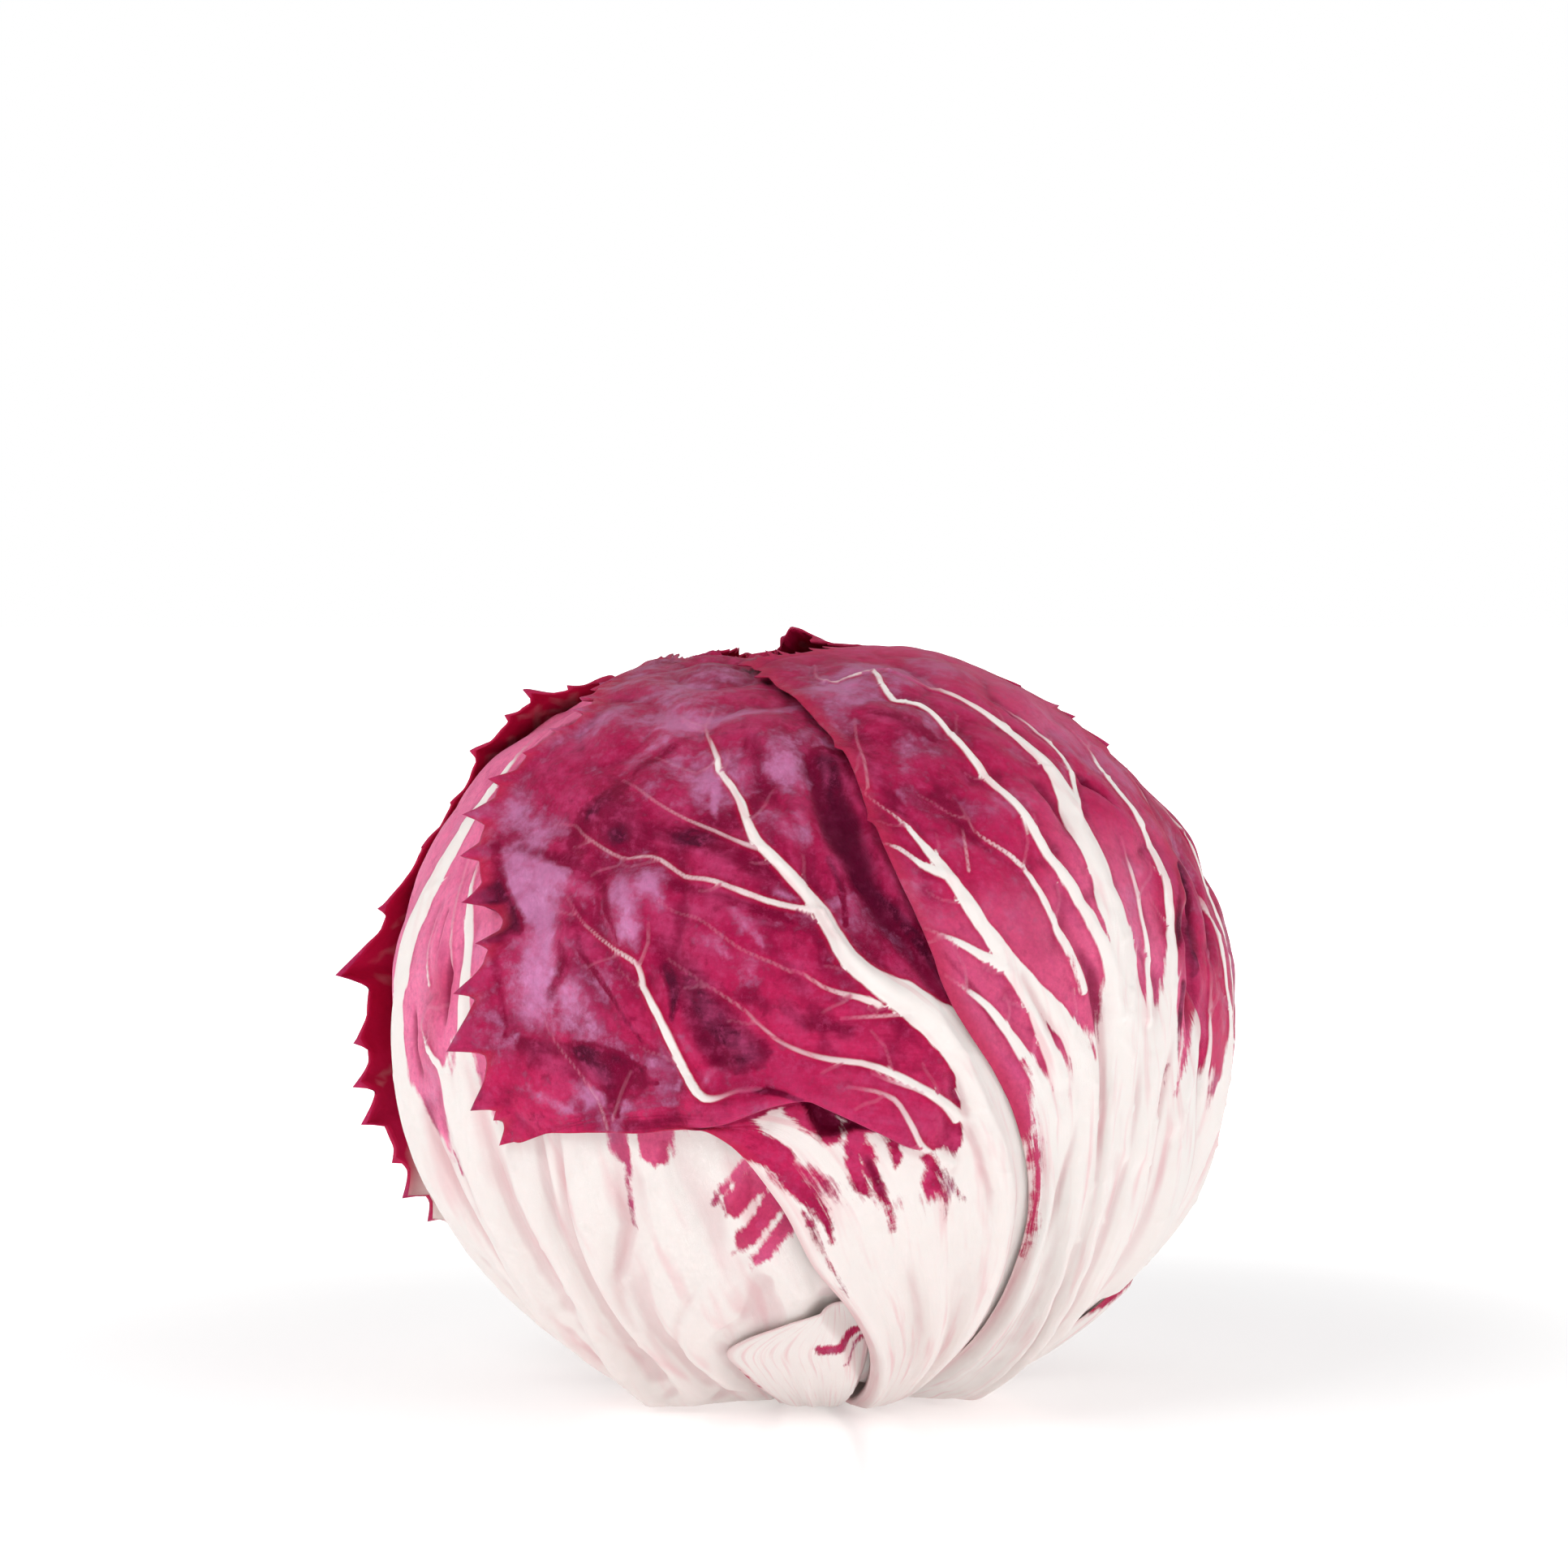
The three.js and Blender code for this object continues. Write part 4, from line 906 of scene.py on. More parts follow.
leftLeaf = {
    "rows": [
        [[-108, 15], [-44, 14], [12, 15]], [[-112, 30], [-42, 30], [18, 30]],
        [[-114, 44], [-41, 46], [21, 44]],
        [[-116, 58], [-40, 60], [18, 58]], [[-118, 74], [-42, 76], [10, 72]],
        [[-118, 90], [-46, 92], [4, 86]],
        [[-117, 106], [-50, 108], [-4, 100]], [[-114, 122], [-54, 124], [-12, 116]],
        [[-106, 136], [-58, 140], [-20, 134]], [[-92, 148], [-68, 151], [-40, 149]],
    ],
    "lift": [0, 0.2, 0],
    "spacing": 0.55,
    "seed": 31,
    "ripe": 0.0,
    "puff": 0.6,
    "wrinkle": 0.6,
    "flutes": {"count": 5.0, "high": 1.05, "from": 0.2, "to": 0.6},
    "ribs": [
        stroke([[-46, 20], [-54, 40], [-62, 58], [-69, 72], [-74, 84], [-75.5, 94], [-74.5, 102],
                [-72.5, 109], [-71, 116], [-72, 126], [-76, 136]], 6.2, 0.5, 2.4, 0.6, taper=2.6),
        stroke([[-44, 25], [-48, 50], [-51.5, 70], [-52.5, 82], [-52.5, 90], [-52.7, 96], [-54, 102.5],
                [-55.2, 105.5], [-57.5, 109], [-59, 112], [-60, 119]], 3.6, 0.4, 1.4, 0.5, taper=1.2),
        stroke([[-46, 30], [-51, 52], [-55.5, 72], [-58, 84.5], [-60, 86.5], [-64, 89.7], [-64, 91.5],
                [-61, 94.5]], 3.0, 0.25, 1.0, 0.4, taper=1.2),
        stroke([[-63, 96], [-66, 101], [-66, 106]], 0.4, 0.1, 0.5, 0.2),
        stroke([[-57, 99], [-60, 106], [-63, 112], [-64, 118]], 0.3, 0.1, 0.5, 0.2),
        *[stroke(line, 3.2, 2.2, 0.8, 0.6) for line in (
            [[-42, 30], [-43, 55], [-45, 78]], [[-38, 30], [-34, 55], [-33, 78]],
            [[-32, 30], [-24, 52], [-20, 78]], [[-24, 30], [-15, 50], [-9, 74]])],
    ],
    "furrows": [
        furrow([[-36.5, 82], [-37, 71], [-37, 58], [-37, 46]], 1.2, 0.4, 3.0),
        furrow([[-39.8, 82], [-40, 72], [-40, 60]], 0.9, 0.4, 2.4),
        furrow([[-28, 78], [-27.5, 66], [-32, 58], [-33, 48], [-34, 38]], 0.9, 0.9, 3.6),
        furrow([[-14, 62], [-18.5, 57], [-24, 50], [-28, 42], [-31, 34]], 0.5, 1.0, 3.6),
        furrow([[-50, 80], [-48.5, 66], [-46, 52]], 0.9, 0.5, 3.2),
        furrow([[-66.5, 84], [-62.5, 70], [-58, 56], [-53, 42]], 1.1, 0.7, 3.4),
        furrow([[-58.5, 102], [-57.8, 97], [-57.5, 92], [-57.5, 88]], 1.2, 0.7, 2.6),
        furrow([[-63.5, 108], [-62.5, 102], [-61, 98]], 0.9, 0.5, 2.4),
        furrow([[-67.5, 94], [-67, 88], [-64, 82]], 0.9, 0.4, 2.4),
        furrow([[-4, 62], [-10, 54], [-16, 46]], 0.5, 0.5, 4.0),
    ],
    "dips": [
        dip([[-16, 20], [-18, 30], [-18.5, 38], [-16.5, 45], [-11, 50], [-4, 53.5], [4, 55]], 0.9, 0.9, 5),
        dip([[12, 40], [6, 52], [0, 61], [-5, 72], [-12, 79.5]], 0.5, 0.5, 5),
    ],
    "patches": [
        stroke([[-27, 79], [-26, 75]], 1.8, 1.0),
        stroke([[-21.5, 80], [-21.5, 75.5]], 2.8, 2.2),
        stroke([[-26, 75], [-26.5, 70], [-26.8, 66]], 0.5, 0.4),
        stroke([[-5, 76], [-9, 72.5], [-12.4, 68.5]], 2.4, 1.6),
        stroke([[-6.5, 78], [-11, 73.8], [-14, 70]], 1.1, 0.5),
        stroke([[-3.5, 73], [-7.2, 68.5], [-10.2, 65], [-11.6, 63]], 1.9, 1.2),
        stroke([[-2, 70], [-5, 66], [-7.5, 62.8], [-9.4, 60.5]], 1.5, 0.9),
        stroke([[-60, 83], [-60, 77.5], [-59, 71]], 0.45, 0.12),
        stroke([[-49.7, 89], [-49.3, 85]], 0.9, 0.6),
        stroke([[-47.5, 83.5], [-47, 79.5]], 0.8, 0.2),
    ],
    "redFrom": [[-120, 90], [-86, 88], [-78, 88], [-70, 85], [-64, 83], [-60, 81], [-55, 89], [-48, 88],
                [-36, 87], [0, 90]],
    "ripeAt": [[-59, 96, 5, 0.25], [-62, 88, 4, 0.2], [-8, 69, 10, 0.3], [-23, 77, 7, 0.2]],
    "paintedSheen": [[-50, 103, 4, 0.7], [-66, 118, 10, 0.4]],
    "shadeAndDarkRedStrokes": [tint([[-62, 127], [-64, 132], [-60, 138], [-54, 142]], 5.0, 1.3)],
    "teeth": {"seed": 12, "start": 0.5, "pitch": 7, "tall": 2.0},
}

leftBackLeaf = {
    "rows": [
        [[-165, 15], [-132, 14], [-100, 15]], [[-168, 30], [-132, 30], [-101, 30]],
        [[-170, 42], [-132, 44], [-101, 44]],
        [[-174, 58], [-134, 60], [-98, 58]], [[-178, 74], [-136, 76], [-96, 72]],
        [[-181, 92], [-138, 92], [-95, 88]],
        [[-182, 108], [-139, 108], [-94, 104]], [[-182, 122], [-139, 124], [-92, 120]],
        [[-178, 136], [-136, 138], [-88, 132]], [[-170, 149], [-130, 152], [-85, 143]],
        [[-150, 160], [-122, 163], [-98, 155]],
    ],
    "lift": [1.0, 0.3, 1.2],
    "spacing": 0.65,
    "seed": 41,
    "flare": {"side": 1, "from": 0.66, "heights": [[54, 0], [60, 1.4], [66, 2.0], [74, 3.2], [80, 3.4],
                                                   [86, 2.4], [92, 3.2], [98, 2.2], [104, 0.8], [110, 0.2],
                                                   [122, 0.6], [128, 2.4], [134, 2.8], [139, 2.8],
                                                   [145, 1.0], [151, 0]]},
    "flutes": {"count": 3.4, "high": 0.6, "from": 0.2, "to": 0.55},
    "grownRibs": {"midWide": 4.0, "sideWide": 1.1, "count": 6, "first": 0.24},
    "redFrom": unevenRed(-190, -112, 6) + [[-96, 66], [-80, 60]],
    "paintedSheen": [[-130, 125, 20, 0.6], [-160, 110, 16, 0.5]],
    "teeth": {
        "seed": 17, "start": 0.4, "pitch": 7.5, "tall": 3.4, "from": 0.78,
        "right": [[-97, 60.5, 2.2, 3.0], [-96.5, 65, 2.8, 4.0], [-96, 69.5, 1.2, 2.4], [-96, 75.3, 3.0, 4.4],
                  [-96, 79.9, 2.6, 3.6], [-95.5, 85.6, 2.0, 4.0], [-95, 94.4, 5.0, 6.4],
                  [-94, 103, 2.6, 4.0], [-93, 113, 1.8, 3.2], [-92, 120, 1.2, 3.0], [-90, 127.5, 1.4, 3.0],
                  [-88, 134, 1.0, 2.4], [-86, 138.5, 2.2, 3.0], [-85, 143, 1.0, 2.4], [-92, 150, 1.4, 3.0]],
    },
}

backLeaf = {
    "rows": [
        [[124, 15], [164, 14], [202, 15]], [[124, 30], [164, 30], [203, 30]],
        [[124, 42], [164, 44], [203, 42]],
        [[120, 60], [164, 62], [206, 60]], [[117, 78], [166, 80], [212, 78]],
        [[114, 96], [168, 98], [216, 96]],
        [[113, 112], [170, 114], [217, 112]], [[113, 128], [172, 130], [216, 128]],
        [[112, 143], [172, 146], [216, 143]], [[112, 155], [170, 160], [220, 156]],
        [[122, 167], [218, 174], [228, 168]],
    ],
    "lift": [1.0, 0.2, 0],
    "spacing": 0.65,
    "seed": 51,
    "flare": {"side": 0, "heights": [[163, 0], [170, 1.4], [175, 3.6]]},
    "flutes": {"count": 3.4, "high": 0.6, "from": 0.2, "to": 0.55},
    "grownRibs": {"midWide": 4.2, "sideWide": 1.1, "count": 6, "first": 0.24},
    "redFrom": unevenRed(100, 232, 5),
    "paintedSheen": [[150, 125, 20, 0.6], [190, 110, 16, 0.5]],
    "teeth": {"seed": 23, "start": 0.45, "pitch": 7, "tall": 3.2, "from": 0.86},
}

rightBackLeaf = {
    "rows": [
        [[66, 15], [98, 14], [132, 15]], [[62, 30], [97, 30], [133, 30]], [[58, 42], [96, 44], [134, 42]],
        [[52, 60], [97, 62], [138, 62]], [[50, 78], [100, 78], [142, 78]], [[49, 94], [102, 92], [146, 94]],
        [[52, 110], [104, 108], [149, 110]], [[56, 124], [104, 124], [150, 124]],
        [[58, 138], [102, 140], [148, 140]],
        [[60, 150], [100, 152], [144, 154]], [[72, 161], [98, 165], [140, 164]],
    ],
    "lift": [-0.6, -0.5, 0],
    "spacing": 0.65,
    "seed": 61,
    "wrinkle": 0.7,
    "flutes": {"count": 4.0, "high": 0.7, "from": 0.3, "to": 0.75},
    "grownRibs": {"midWide": 4.0, "sideWide": 1.1, "count": 6, "first": 0.3, "sides": (1,)},
    "ribs": [
        stroke([[74, 20], [68, 50], [66, 70], [66, 84], [68, 94], [70, 100]], 2.6, 0.3, 1.0, 0.4),
        stroke([[84, 20], [78, 50], [75, 75], [75, 92], [76, 104], [75, 116]], 2.6, 0.3, 1.0, 0.4),
        stroke([[90, 20], [87, 50], [85, 75], [85, 95], [86, 112], [84, 130]], 2.6, 0.3, 1.0, 0.4),
        stroke([[62, 20], [58, 50], [56, 75], [57, 90], [60, 104]], 2.6, 0.4, 0.8, 0.4),
    ],
    "furrows": [
        furrow([[69, 124], [69, 114], [68, 107], [66, 101], [65, 96]], 1.6, 2.6, 3.0, 0.6, 0.4),
        furrow([[76, 118], [76, 110], [73, 103], [70, 97]], 1.4, 2.0, 2.6, 0.4, 0.3),
        furrow([[63, 93], [62, 88], [62, 80], [60, 68]], 2.2, 0.8, 3.0, 0.6, 0.3),
    ],
    "redFrom": [[40, 80], [62, 82], [72, 88], [84, 84]] + unevenRed(90, 155, 7),
    "shadeAndDarkRedStrokes": pocketShade,
    "paintedSheen": [[100, 125, 18, 0.5], [80, 100, 6, 0.5]],
    "teeth": {"seed": 29, "start": 0.45, "pitch": 7, "tall": 2.8, "from": 0.86},
}

frontBract = {
    "rows": [
        [[-15, 16], [0, 16], [13, 16]], [[-14, 24], [0, 24], [13, 24]], [[-16, 31], [-1, 31], [12.5, 31]],
        [[-17.5, 37], [-2, 38], [12, 38]], [[-18, 42], [-3, 44], [11, 44]],
        [[-12, 46.5], [-1, 49], [9.5, 49]],
        [[-4, 50.5], [1.5, 53], [6.5, 53]],
    ],
    "lift": [0.5, 0.6, 0.5],
    "flush": 0.4,
    "rim": 0.15,
    "spacing": 0.35,
    "seed": 71,
    "puff": 0.0,
    "wrinkle": 0.0,
    "flesh": 0.1,
    "slot": "leaf_base",
    "flutes": {"count": 1.6, "high": 0.2, "from": 0.3, "to": 0.9},
    "patches": [
        stroke([[1.5, 45], [5.5, 45.6], [9.8, 46]], 1.2, 1.0),
        stroke([[9.8, 44.4], [8, 43], [6.5, 41]], 0.9, 0.3),
        stroke([[-15.5, 30], [-16.5, 33], [-17.5, 37]], 0.3, 0.1),
    ],
    "redFrom": [[-60, 170], [60, 170]],
}

rightBract = {
    "rows": [
        [[64, 16], [82, 16], [100, 16]], [[61, 34], [82, 34], [106, 34]], [[66, 43], [84, 44], [107, 43]],
        [[76, 48.5], [86, 51], [100, 48.5]],
    ],
    "lift": [0.5, 1.2, 1.3],
    "flush": 0.8,
    "flare": {"side": 1, "from": -0.1, "heights": [[28, 0], [38, 1.0], [46, 2.0], [52, 2.4]]},
    "rim": 0.15,
    "spacing": 0.45,
    "seed": 81,
    "puff": 0.0,
    "wrinkle": 0.1,
    "flesh": 0.2,
    "slot": "leaf_base",
    "flutes": {"count": 1.6, "high": 0.3, "from": 0.3, "to": 0.9},
    "patches": [stroke([[70, 45.6], [78, 48.4], [86, 50], [96, 48.8]], 0.7, 0.8)],
    "redFrom": [[0, 170], [160, 170]],
}


def innerLeaf(count):
    # one of four, a quarter turn apart, that cross over the crown
    turn = 90 * count - 60
    steps = [[14, 30], [44, 46], [70, 60], [95, 66], [120, 64], [145, 58], [164, 50]]
    return {
        "rows": [[[turn - half, rise], [turn, rise + 1], [turn + half, rise]] for rise, half in steps],
        "lift": [-1.6, -2.0, -2.4],
        "spacing": 1.3,
        "seed": 90 + count,
        "flutes": {"count": 3.0, "high": 0.5, "from": 0.2, "to": 0.55},
        "grownRibs": {"midWide": 3.4, "sideWide": 1.0, "count": 5, "first": 0.24},
        "redFrom": [[turn - 90, 80], [turn + 90, 80]],
        "teeth": {"seed": 40 + count, "start": 0.5, "pitch": 7, "tall": 2.6, "from": 0.86},
    }


leaves = {
    "right_bract": rightBract, "right_leaf": rightLeaf, "front_leaf": frontLeaf,
    "left_back_leaf": leftBackLeaf, "back_leaf": backLeaf, "right_back_leaf": rightBackLeaf,
    "front_bract": frontBract, "left_leaf": leftLeaf,
    **{f"inner_leaf_{count}": innerLeaf(count) for count in (1, 2, 3, 4)},
}
pieces = []
for node, values in leaves.items():
    leaf = {**usual, **values}
    if "grownRibs" in leaf:
        leaf["ribs"] = leaf["ribs"] + growRibs(leaf)
    leaf["ribs"] = leaf["ribs"] + growTwigs(leaf)
    pieces.append(growLeaf(node, leaf))


def ringedPiece(name, points, sides):
    # a closed mesh from rings of points, lowest first, and the middles of its two ends
    rows = len(points) // sides
    grid = np.arange(rows * sides).reshape(rows, sides)
    around = np.roll(grid, -1, axis=1)
    quads = np.stack([grid[:-1], around[:-1], around[1:], grid[1:]], -1).reshape(-1, 4)
    low, high = rows * sides, rows * sides + 1
    caps = np.concatenate([np.stack([around[0], grid[0], grid[0] * 0 + low], -1),
                           np.stack([grid[-1], around[-1], grid[-1] * 0 + high], -1)])
    mesh = bpy.data.meshes.new(name)
    mesh.from_pydata(points, [], quads.tolist() + caps.tolist())
    mesh.shade_smooth()
    return newObject(name, mesh)


heart = {
    "radius": 46.5, "crownDrop": 6.5, "leaves": 5, "step": 1.6,
    "rings": 90, "sides": 180, "bottomRise": 17,
}


def growHeart():
    # a ball whose skin steps down from one folded leaf to the next, under the leaves laid before it
    rise = np.linspace(heart["bottomRise"], 180, heart["rings"] + 1)[1:-1, None]
    turn = np.linspace(0, 360, heart["sides"], endpoint=False)[None]
    towards = direction(turn + 0 * rise, rise + 0 * turn)
    overlap = heart["leaves"] * (turn + 0.4 * rise) / 360
    step = heart["step"] * (1 - overlap % 1) * np.sin(np.radians(rise))
    ribs = 0.35 * np.cos(np.radians(turn * 36)) * (1 - smooth(rise, 60, 110))
    drop = heart["crownDrop"] * smooth(rise, head["crownStart"], head["crownEnd"])
    radius = np.minimum(heart["radius"] - drop + step + ribs, roomUnder(towards))
    points = (towards * radius[..., None]).reshape(-1, 3)
    base, crown = points[:heart["sides"], 2].max(), radius[-1].min()
    points = np.concatenate([points, [[0, 0, base], [0, 0, crown]]]) * mm
    points[:, 2] += head["centreHeight"] * mm
    piece = ringedPiece("heart_ball", points, heart["sides"])
    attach(piece, "root")
    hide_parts("heart")
    return piece, points[:-2, 2].min() / mm


heartPiece, heartLow = growHeart()
print("heart laid")

stem = {"radius": 10.0, "topRadius": 8.0, "bevel": 0.8, "sides": 96, "cutRings": 14, "gap": 0.45}


def cutStem():
    # a profile turned about the stem's axis: a cut face, a soft bevel and a taper
    top = heartLow - stem["gap"]
    r, topRadius, bevel = stem["radius"], stem["topRadius"], stem["bevel"]
    profile = [[x, 0.0] for x in np.linspace(0.5, r - bevel, stem["cutRings"])]
    profile += [[r - 0.25, 0.22], [r, bevel], [mix(r, topRadius, 0.5), top / 2]]
    profile += [[topRadius, top - 0.4], [topRadius - 0.5, top]]
    turn = np.linspace(0, 2 * math.pi, stem["sides"], endpoint=False)
    lobes = 1 + 0.025 * np.cos(3 * turn + 1) + 0.015 * np.cos(7 * turn)
    ring = np.stack([np.cos(turn) * lobes, np.sin(turn) * lobes], -1)
    points = np.concatenate([np.concatenate([ring * x, np.full((len(ring), 1), z)], -1) for x, z in profile])
    points = np.concatenate([points, [[0, 0, 0], [0, 0, top]]]) * mm
    piece = ringedPiece("stem_stump", points, stem["sides"])
    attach(piece, "root")
    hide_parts("cut_stem")
    return piece


stemPiece = cutStem()
print("stem cut")


def linear(hexColour):
    # an sRGB hex value as the linear colour a shader takes
    parts = [int(hexColour[k:k + 2], 16) / 255 for k in (1, 3, 5)]
    return tuple(c / 12.92 if c <= 0.04045 else ((c + 0.055) / 1.055) ** 2.4 for c in parts) + (1.0,)


def add(tree, kind, settings=None, **inputs):
    # a node with its settings, and each input given as a value or as another node's output
    made = tree.nodes.new(kind)
    for key, value in (settings or {}).items():
        setattr(made, key, value)
    for key, value in inputs.items():
        socket = made.inputs[int(key[1:])] if key[1:].isdigit() else made.inputs[key.replace("_", " ")]
        if isinstance(value, bpy.types.NodeSocket):
            tree.links.new(value, socket)
        else:
            socket.default_value = value
    return made


leafFinish = {
    "rib": "#F6ECE8",          # cream-white flesh of ribs and base
    "ribBlush": "#F1D3D3",     # faint pink in the flesh
    "fineRib": "#D98AA4",      # a vein so fine that the red skin shows through
    "paintedGrooveShade": "#D3A3A8",       # painted shade, pinkish, on the flesh in grooves
    # painted shade on the flesh in furrows, and a pink tint along its edge
    "furrow": "#D98E96",
    "fringe": "#B00F3C",       # the red skin is clearest beside a rib
    "young": "#F77FAA",        # the palest blade, of a leaf shaded while it grew
    "redLow": "#C62458",       # thin blade low on the leaf
    "redMid": "#A61045",
    "redHigh": "#78022E",
    "paintedFoldShade": "#480320",         # painted shade deep in folds, creases and furrows
    "crest": "#BE4474",        # paler red in random patches, and painted light on ridges
    "paintedSheen": "#D27EB2",        # painted sheen
    "edge": "#B8284A",
    "inner": "#A80C34",        # the face turned to the heart
    "veinWidth": 0.12,         # mm outside a rib's edge at which the red is full
    "fibre": 1.6,              # how far the red creeps along the flesh's fibres
    "roughness": 0.38,
    "specular": 0.06,
    "paintedSheenAndGloss": 0.9,              # more specular where the painted sheen lies
    "haze": 0.15,              # pale bloom seen edge-on
    "netSize": 3.2,            # mm between the finest veins
}


def emptyFinish(name):
    material = bpy.data.materials.new(name)
    material.use_nodes = True
    tree = material.node_tree
    tree.nodes.clear()
    out = add(tree, "ShaderNodeOutputMaterial")
    coords = add(tree, "ShaderNodeTexCoord").outputs["Object"]
    return material, tree, out.inputs[0], coords


def noise(tree, vector, scale, detail, roughness):
    made = add(tree, "ShaderNodeTexNoise", Vector=vector, Scale=scale, Detail=detail, Roughness=roughness)
    return made.outputs[0]


def leafSkin():
    # Fresh leaf epidermis under thin wax: satin, the red only skin deep, ragged along the flesh's fibres
    material, tree, surface, coords = emptyFinish("radicchioLeafSkin")

    def field(name):
        return add(tree, "ShaderNodeAttribute", {"attribute_name": name}).outputs["Fac"]

    def maths(operation, a, b=0.0):
        return add(tree, "ShaderNodeMath", {"operation": operation}, _0=a, _1=b).outputs[0]

    def times(a, b):
        return maths("MULTIPLY", a, b)

    def plus(a, b):
        return maths("ADD", a, b)

    def minus(a, b):
        return maths("SUBTRACT", a, b)

    def oneMinus(a):
        return minus(1.0, a)

    def tone(name):
        return linear(leafFinish[name])

    def between(x, low, high):
        return add(tree, "ShaderNodeMapRange", {"interpolation_type": "SMOOTHSTEP"}, Value=x, From_Min=low,
                   From_Max=high, To_Min=0.0, To_Max=1.0).outputs[0]

    def blend(t, a, b, how="MIX"):
        settings = {"data_type": "RGBA", "blend_type": how}
        return add(tree, "ShaderNodeMix", settings, Factor=t, _6=a, _7=b).outputs[2]

    uv = add(tree, "ShaderNodeUVMap", {"uv_map": "alongLeaf"}).outputs[0]
    fibreSpace = add(tree, "ShaderNodeMapping", _3=(1.6, 0.16, 1.0), Vector=uv).outputs[0]
    fibres = noise(tree, fibreSpace, 1.0, 4.0, 0.65)
    fibre = minus(fibres, 0.5)
    soft = noise(tree, coords, 140.0, 3.0, 0.55)
    blotch = noise(tree, coords, 45.0, 4.0, 0.6)
    grain = noise(tree, coords, 1500.0, 2.0, 0.6)
    freckles = noise(tree, coords, 550.0, 4.0, 0.7)

    ragged = plus(0.05, times(field("ribHalf"), 0.14))
    gap = plus(field("ribGap"), times(times(fibre, ragged), leafFinish["fibre"]))
    ribs = oneMinus(between(gap, -0.18, leafFinish["veinWidth"]))
    thick = between(field("ribHalf"), 0.02, 0.5)
    ribs = times(ribs, plus(0.15, times(thick, 0.85)))
    streakSpace = add(tree, "ShaderNodeMapping", _3=(0.45, 0.05, 1.0), Vector=uv).outputs[0]
    streaks = noise(tree, streakSpace, 1.0, 2.0, 0.5)
    creep = plus(field("redAbove"), times(fibre, 9.0))
    creep = plus(creep, times(minus(streaks, 0.5), 12.0))
    creep = plus(creep, times(minus(freckles, 0.5), 5.0))
    # low on the leaf the red keeps to the middle between two ribs, as pointed flames
    flame = plus(creep, times(maths("MINIMUM", field("ribGap"), 2.5), 3.0))
    aboveBase = between(flame, -1.5, 2.5)
    patch = plus(field("patchGap"), times(fibre, 2.2))
    patch = plus(patch, times(minus(freckles, 0.5), 1.8))
    patch = oneMinus(between(patch, -0.5, 0.35))
    red = times(aboveBase, oneMinus(ribs))
    red = maths("MAXIMUM", red, patch)

    warped = blend(0.18, coords, add(tree, "ShaderNodeTexNoise", Vector=coords, Scale=260.0).outputs[1])
    net = add(tree, "ShaderNodeTexVoronoi", {"feature": "DISTANCE_TO_EDGE"}, Vector=warped,
              Scale=1000.0 / leafFinish["netSize"]).outputs[0]
    veins = oneMinus(between(net, 0.0, 0.12))
    # streaks that lean up and outwards from the midrib, as the side ribs do
    across = add(tree, "ShaderNodeSeparateXYZ", Vector=uv).outputs
    lean = minus(across[1], times(maths("ABSOLUTE", across[0]), 1.3))
    leanSpace = add(tree, "ShaderNodeCombineXYZ", X=times(lean, 0.2),
                    Y=times(across[0], 0.11)).outputs[0]
    leaning = noise(tree, leanSpace, 1.0, 5.0, 0.62)
    crumpled = noise(tree, coords, 95.0, 5.0, 0.6)
    leaning = plus(times(leaning, 0.35), times(crumpled, 0.65))
    ripe = field("ripe")
    high = between(field("redAbove"), 2.0, 30.0)
    high = times(high, plus(0.08, times(ripe, 0.92)))
    redColour = blend(between(ripe, 0.0, 0.4), tone("young"), tone("redLow"))
    redColour = blend(high, redColour, tone("redMid"))
    mottle = plus(leaning, times(blotch, 0.5))
    deep = times(between(mottle, 0.68, 0.86), plus(0.1, times(ripe, 0.75)))
    redColour = blend(deep, redColour, tone("redHigh"))
    uneven = times(minus(mottle, 0.75), 2.4)
    # dark red strokes, and painted shade under the pleats, in creases and in pockets between leaves
    darkRedAndShade = plus(field("deep"), times(uneven, between(field("deep"), 0.05, 0.4)))
    redColour = blend(between(darkRedAndShade, 0.2, 0.9), redColour, tone("redHigh"))
    redColour = blend(between(darkRedAndShade, 0.9, 1.6), redColour, tone("paintedFoldShade"))
    bright = times(oneMinus(between(leaning, 0.36, 0.5)), 0.5)
    redColour = blend(bright, redColour, tone("crest"))
    # painted shade in hollows of the skin, painted light on its ridges
    redColour = blend(times(between(field("hollow"), 0.05, 0.9), 0.7), redColour,
                      tone("redHigh"))
    redColour = blend(times(between(field("hollow"), -0.15, -0.9), 0.3), redColour,
                      tone("crest"))
    redColour = blend(times(veins, 0.15), redColour, tone("crest"))
    redColour = blend(times(between(freckles, 0.5, 0.72), plus(0.12, times(ripe, 0.5))),
                      redColour, tone("redHigh"))
    redColour = blend(times(between(freckles, 0.5, 0.3), 0.4), redColour, tone("crest"))
    # painted shade down in the furrows
    redColour = blend(times(between(field("furrow"), 0.3, 2.2), 0.8), redColour, tone("paintedFoldShade"))
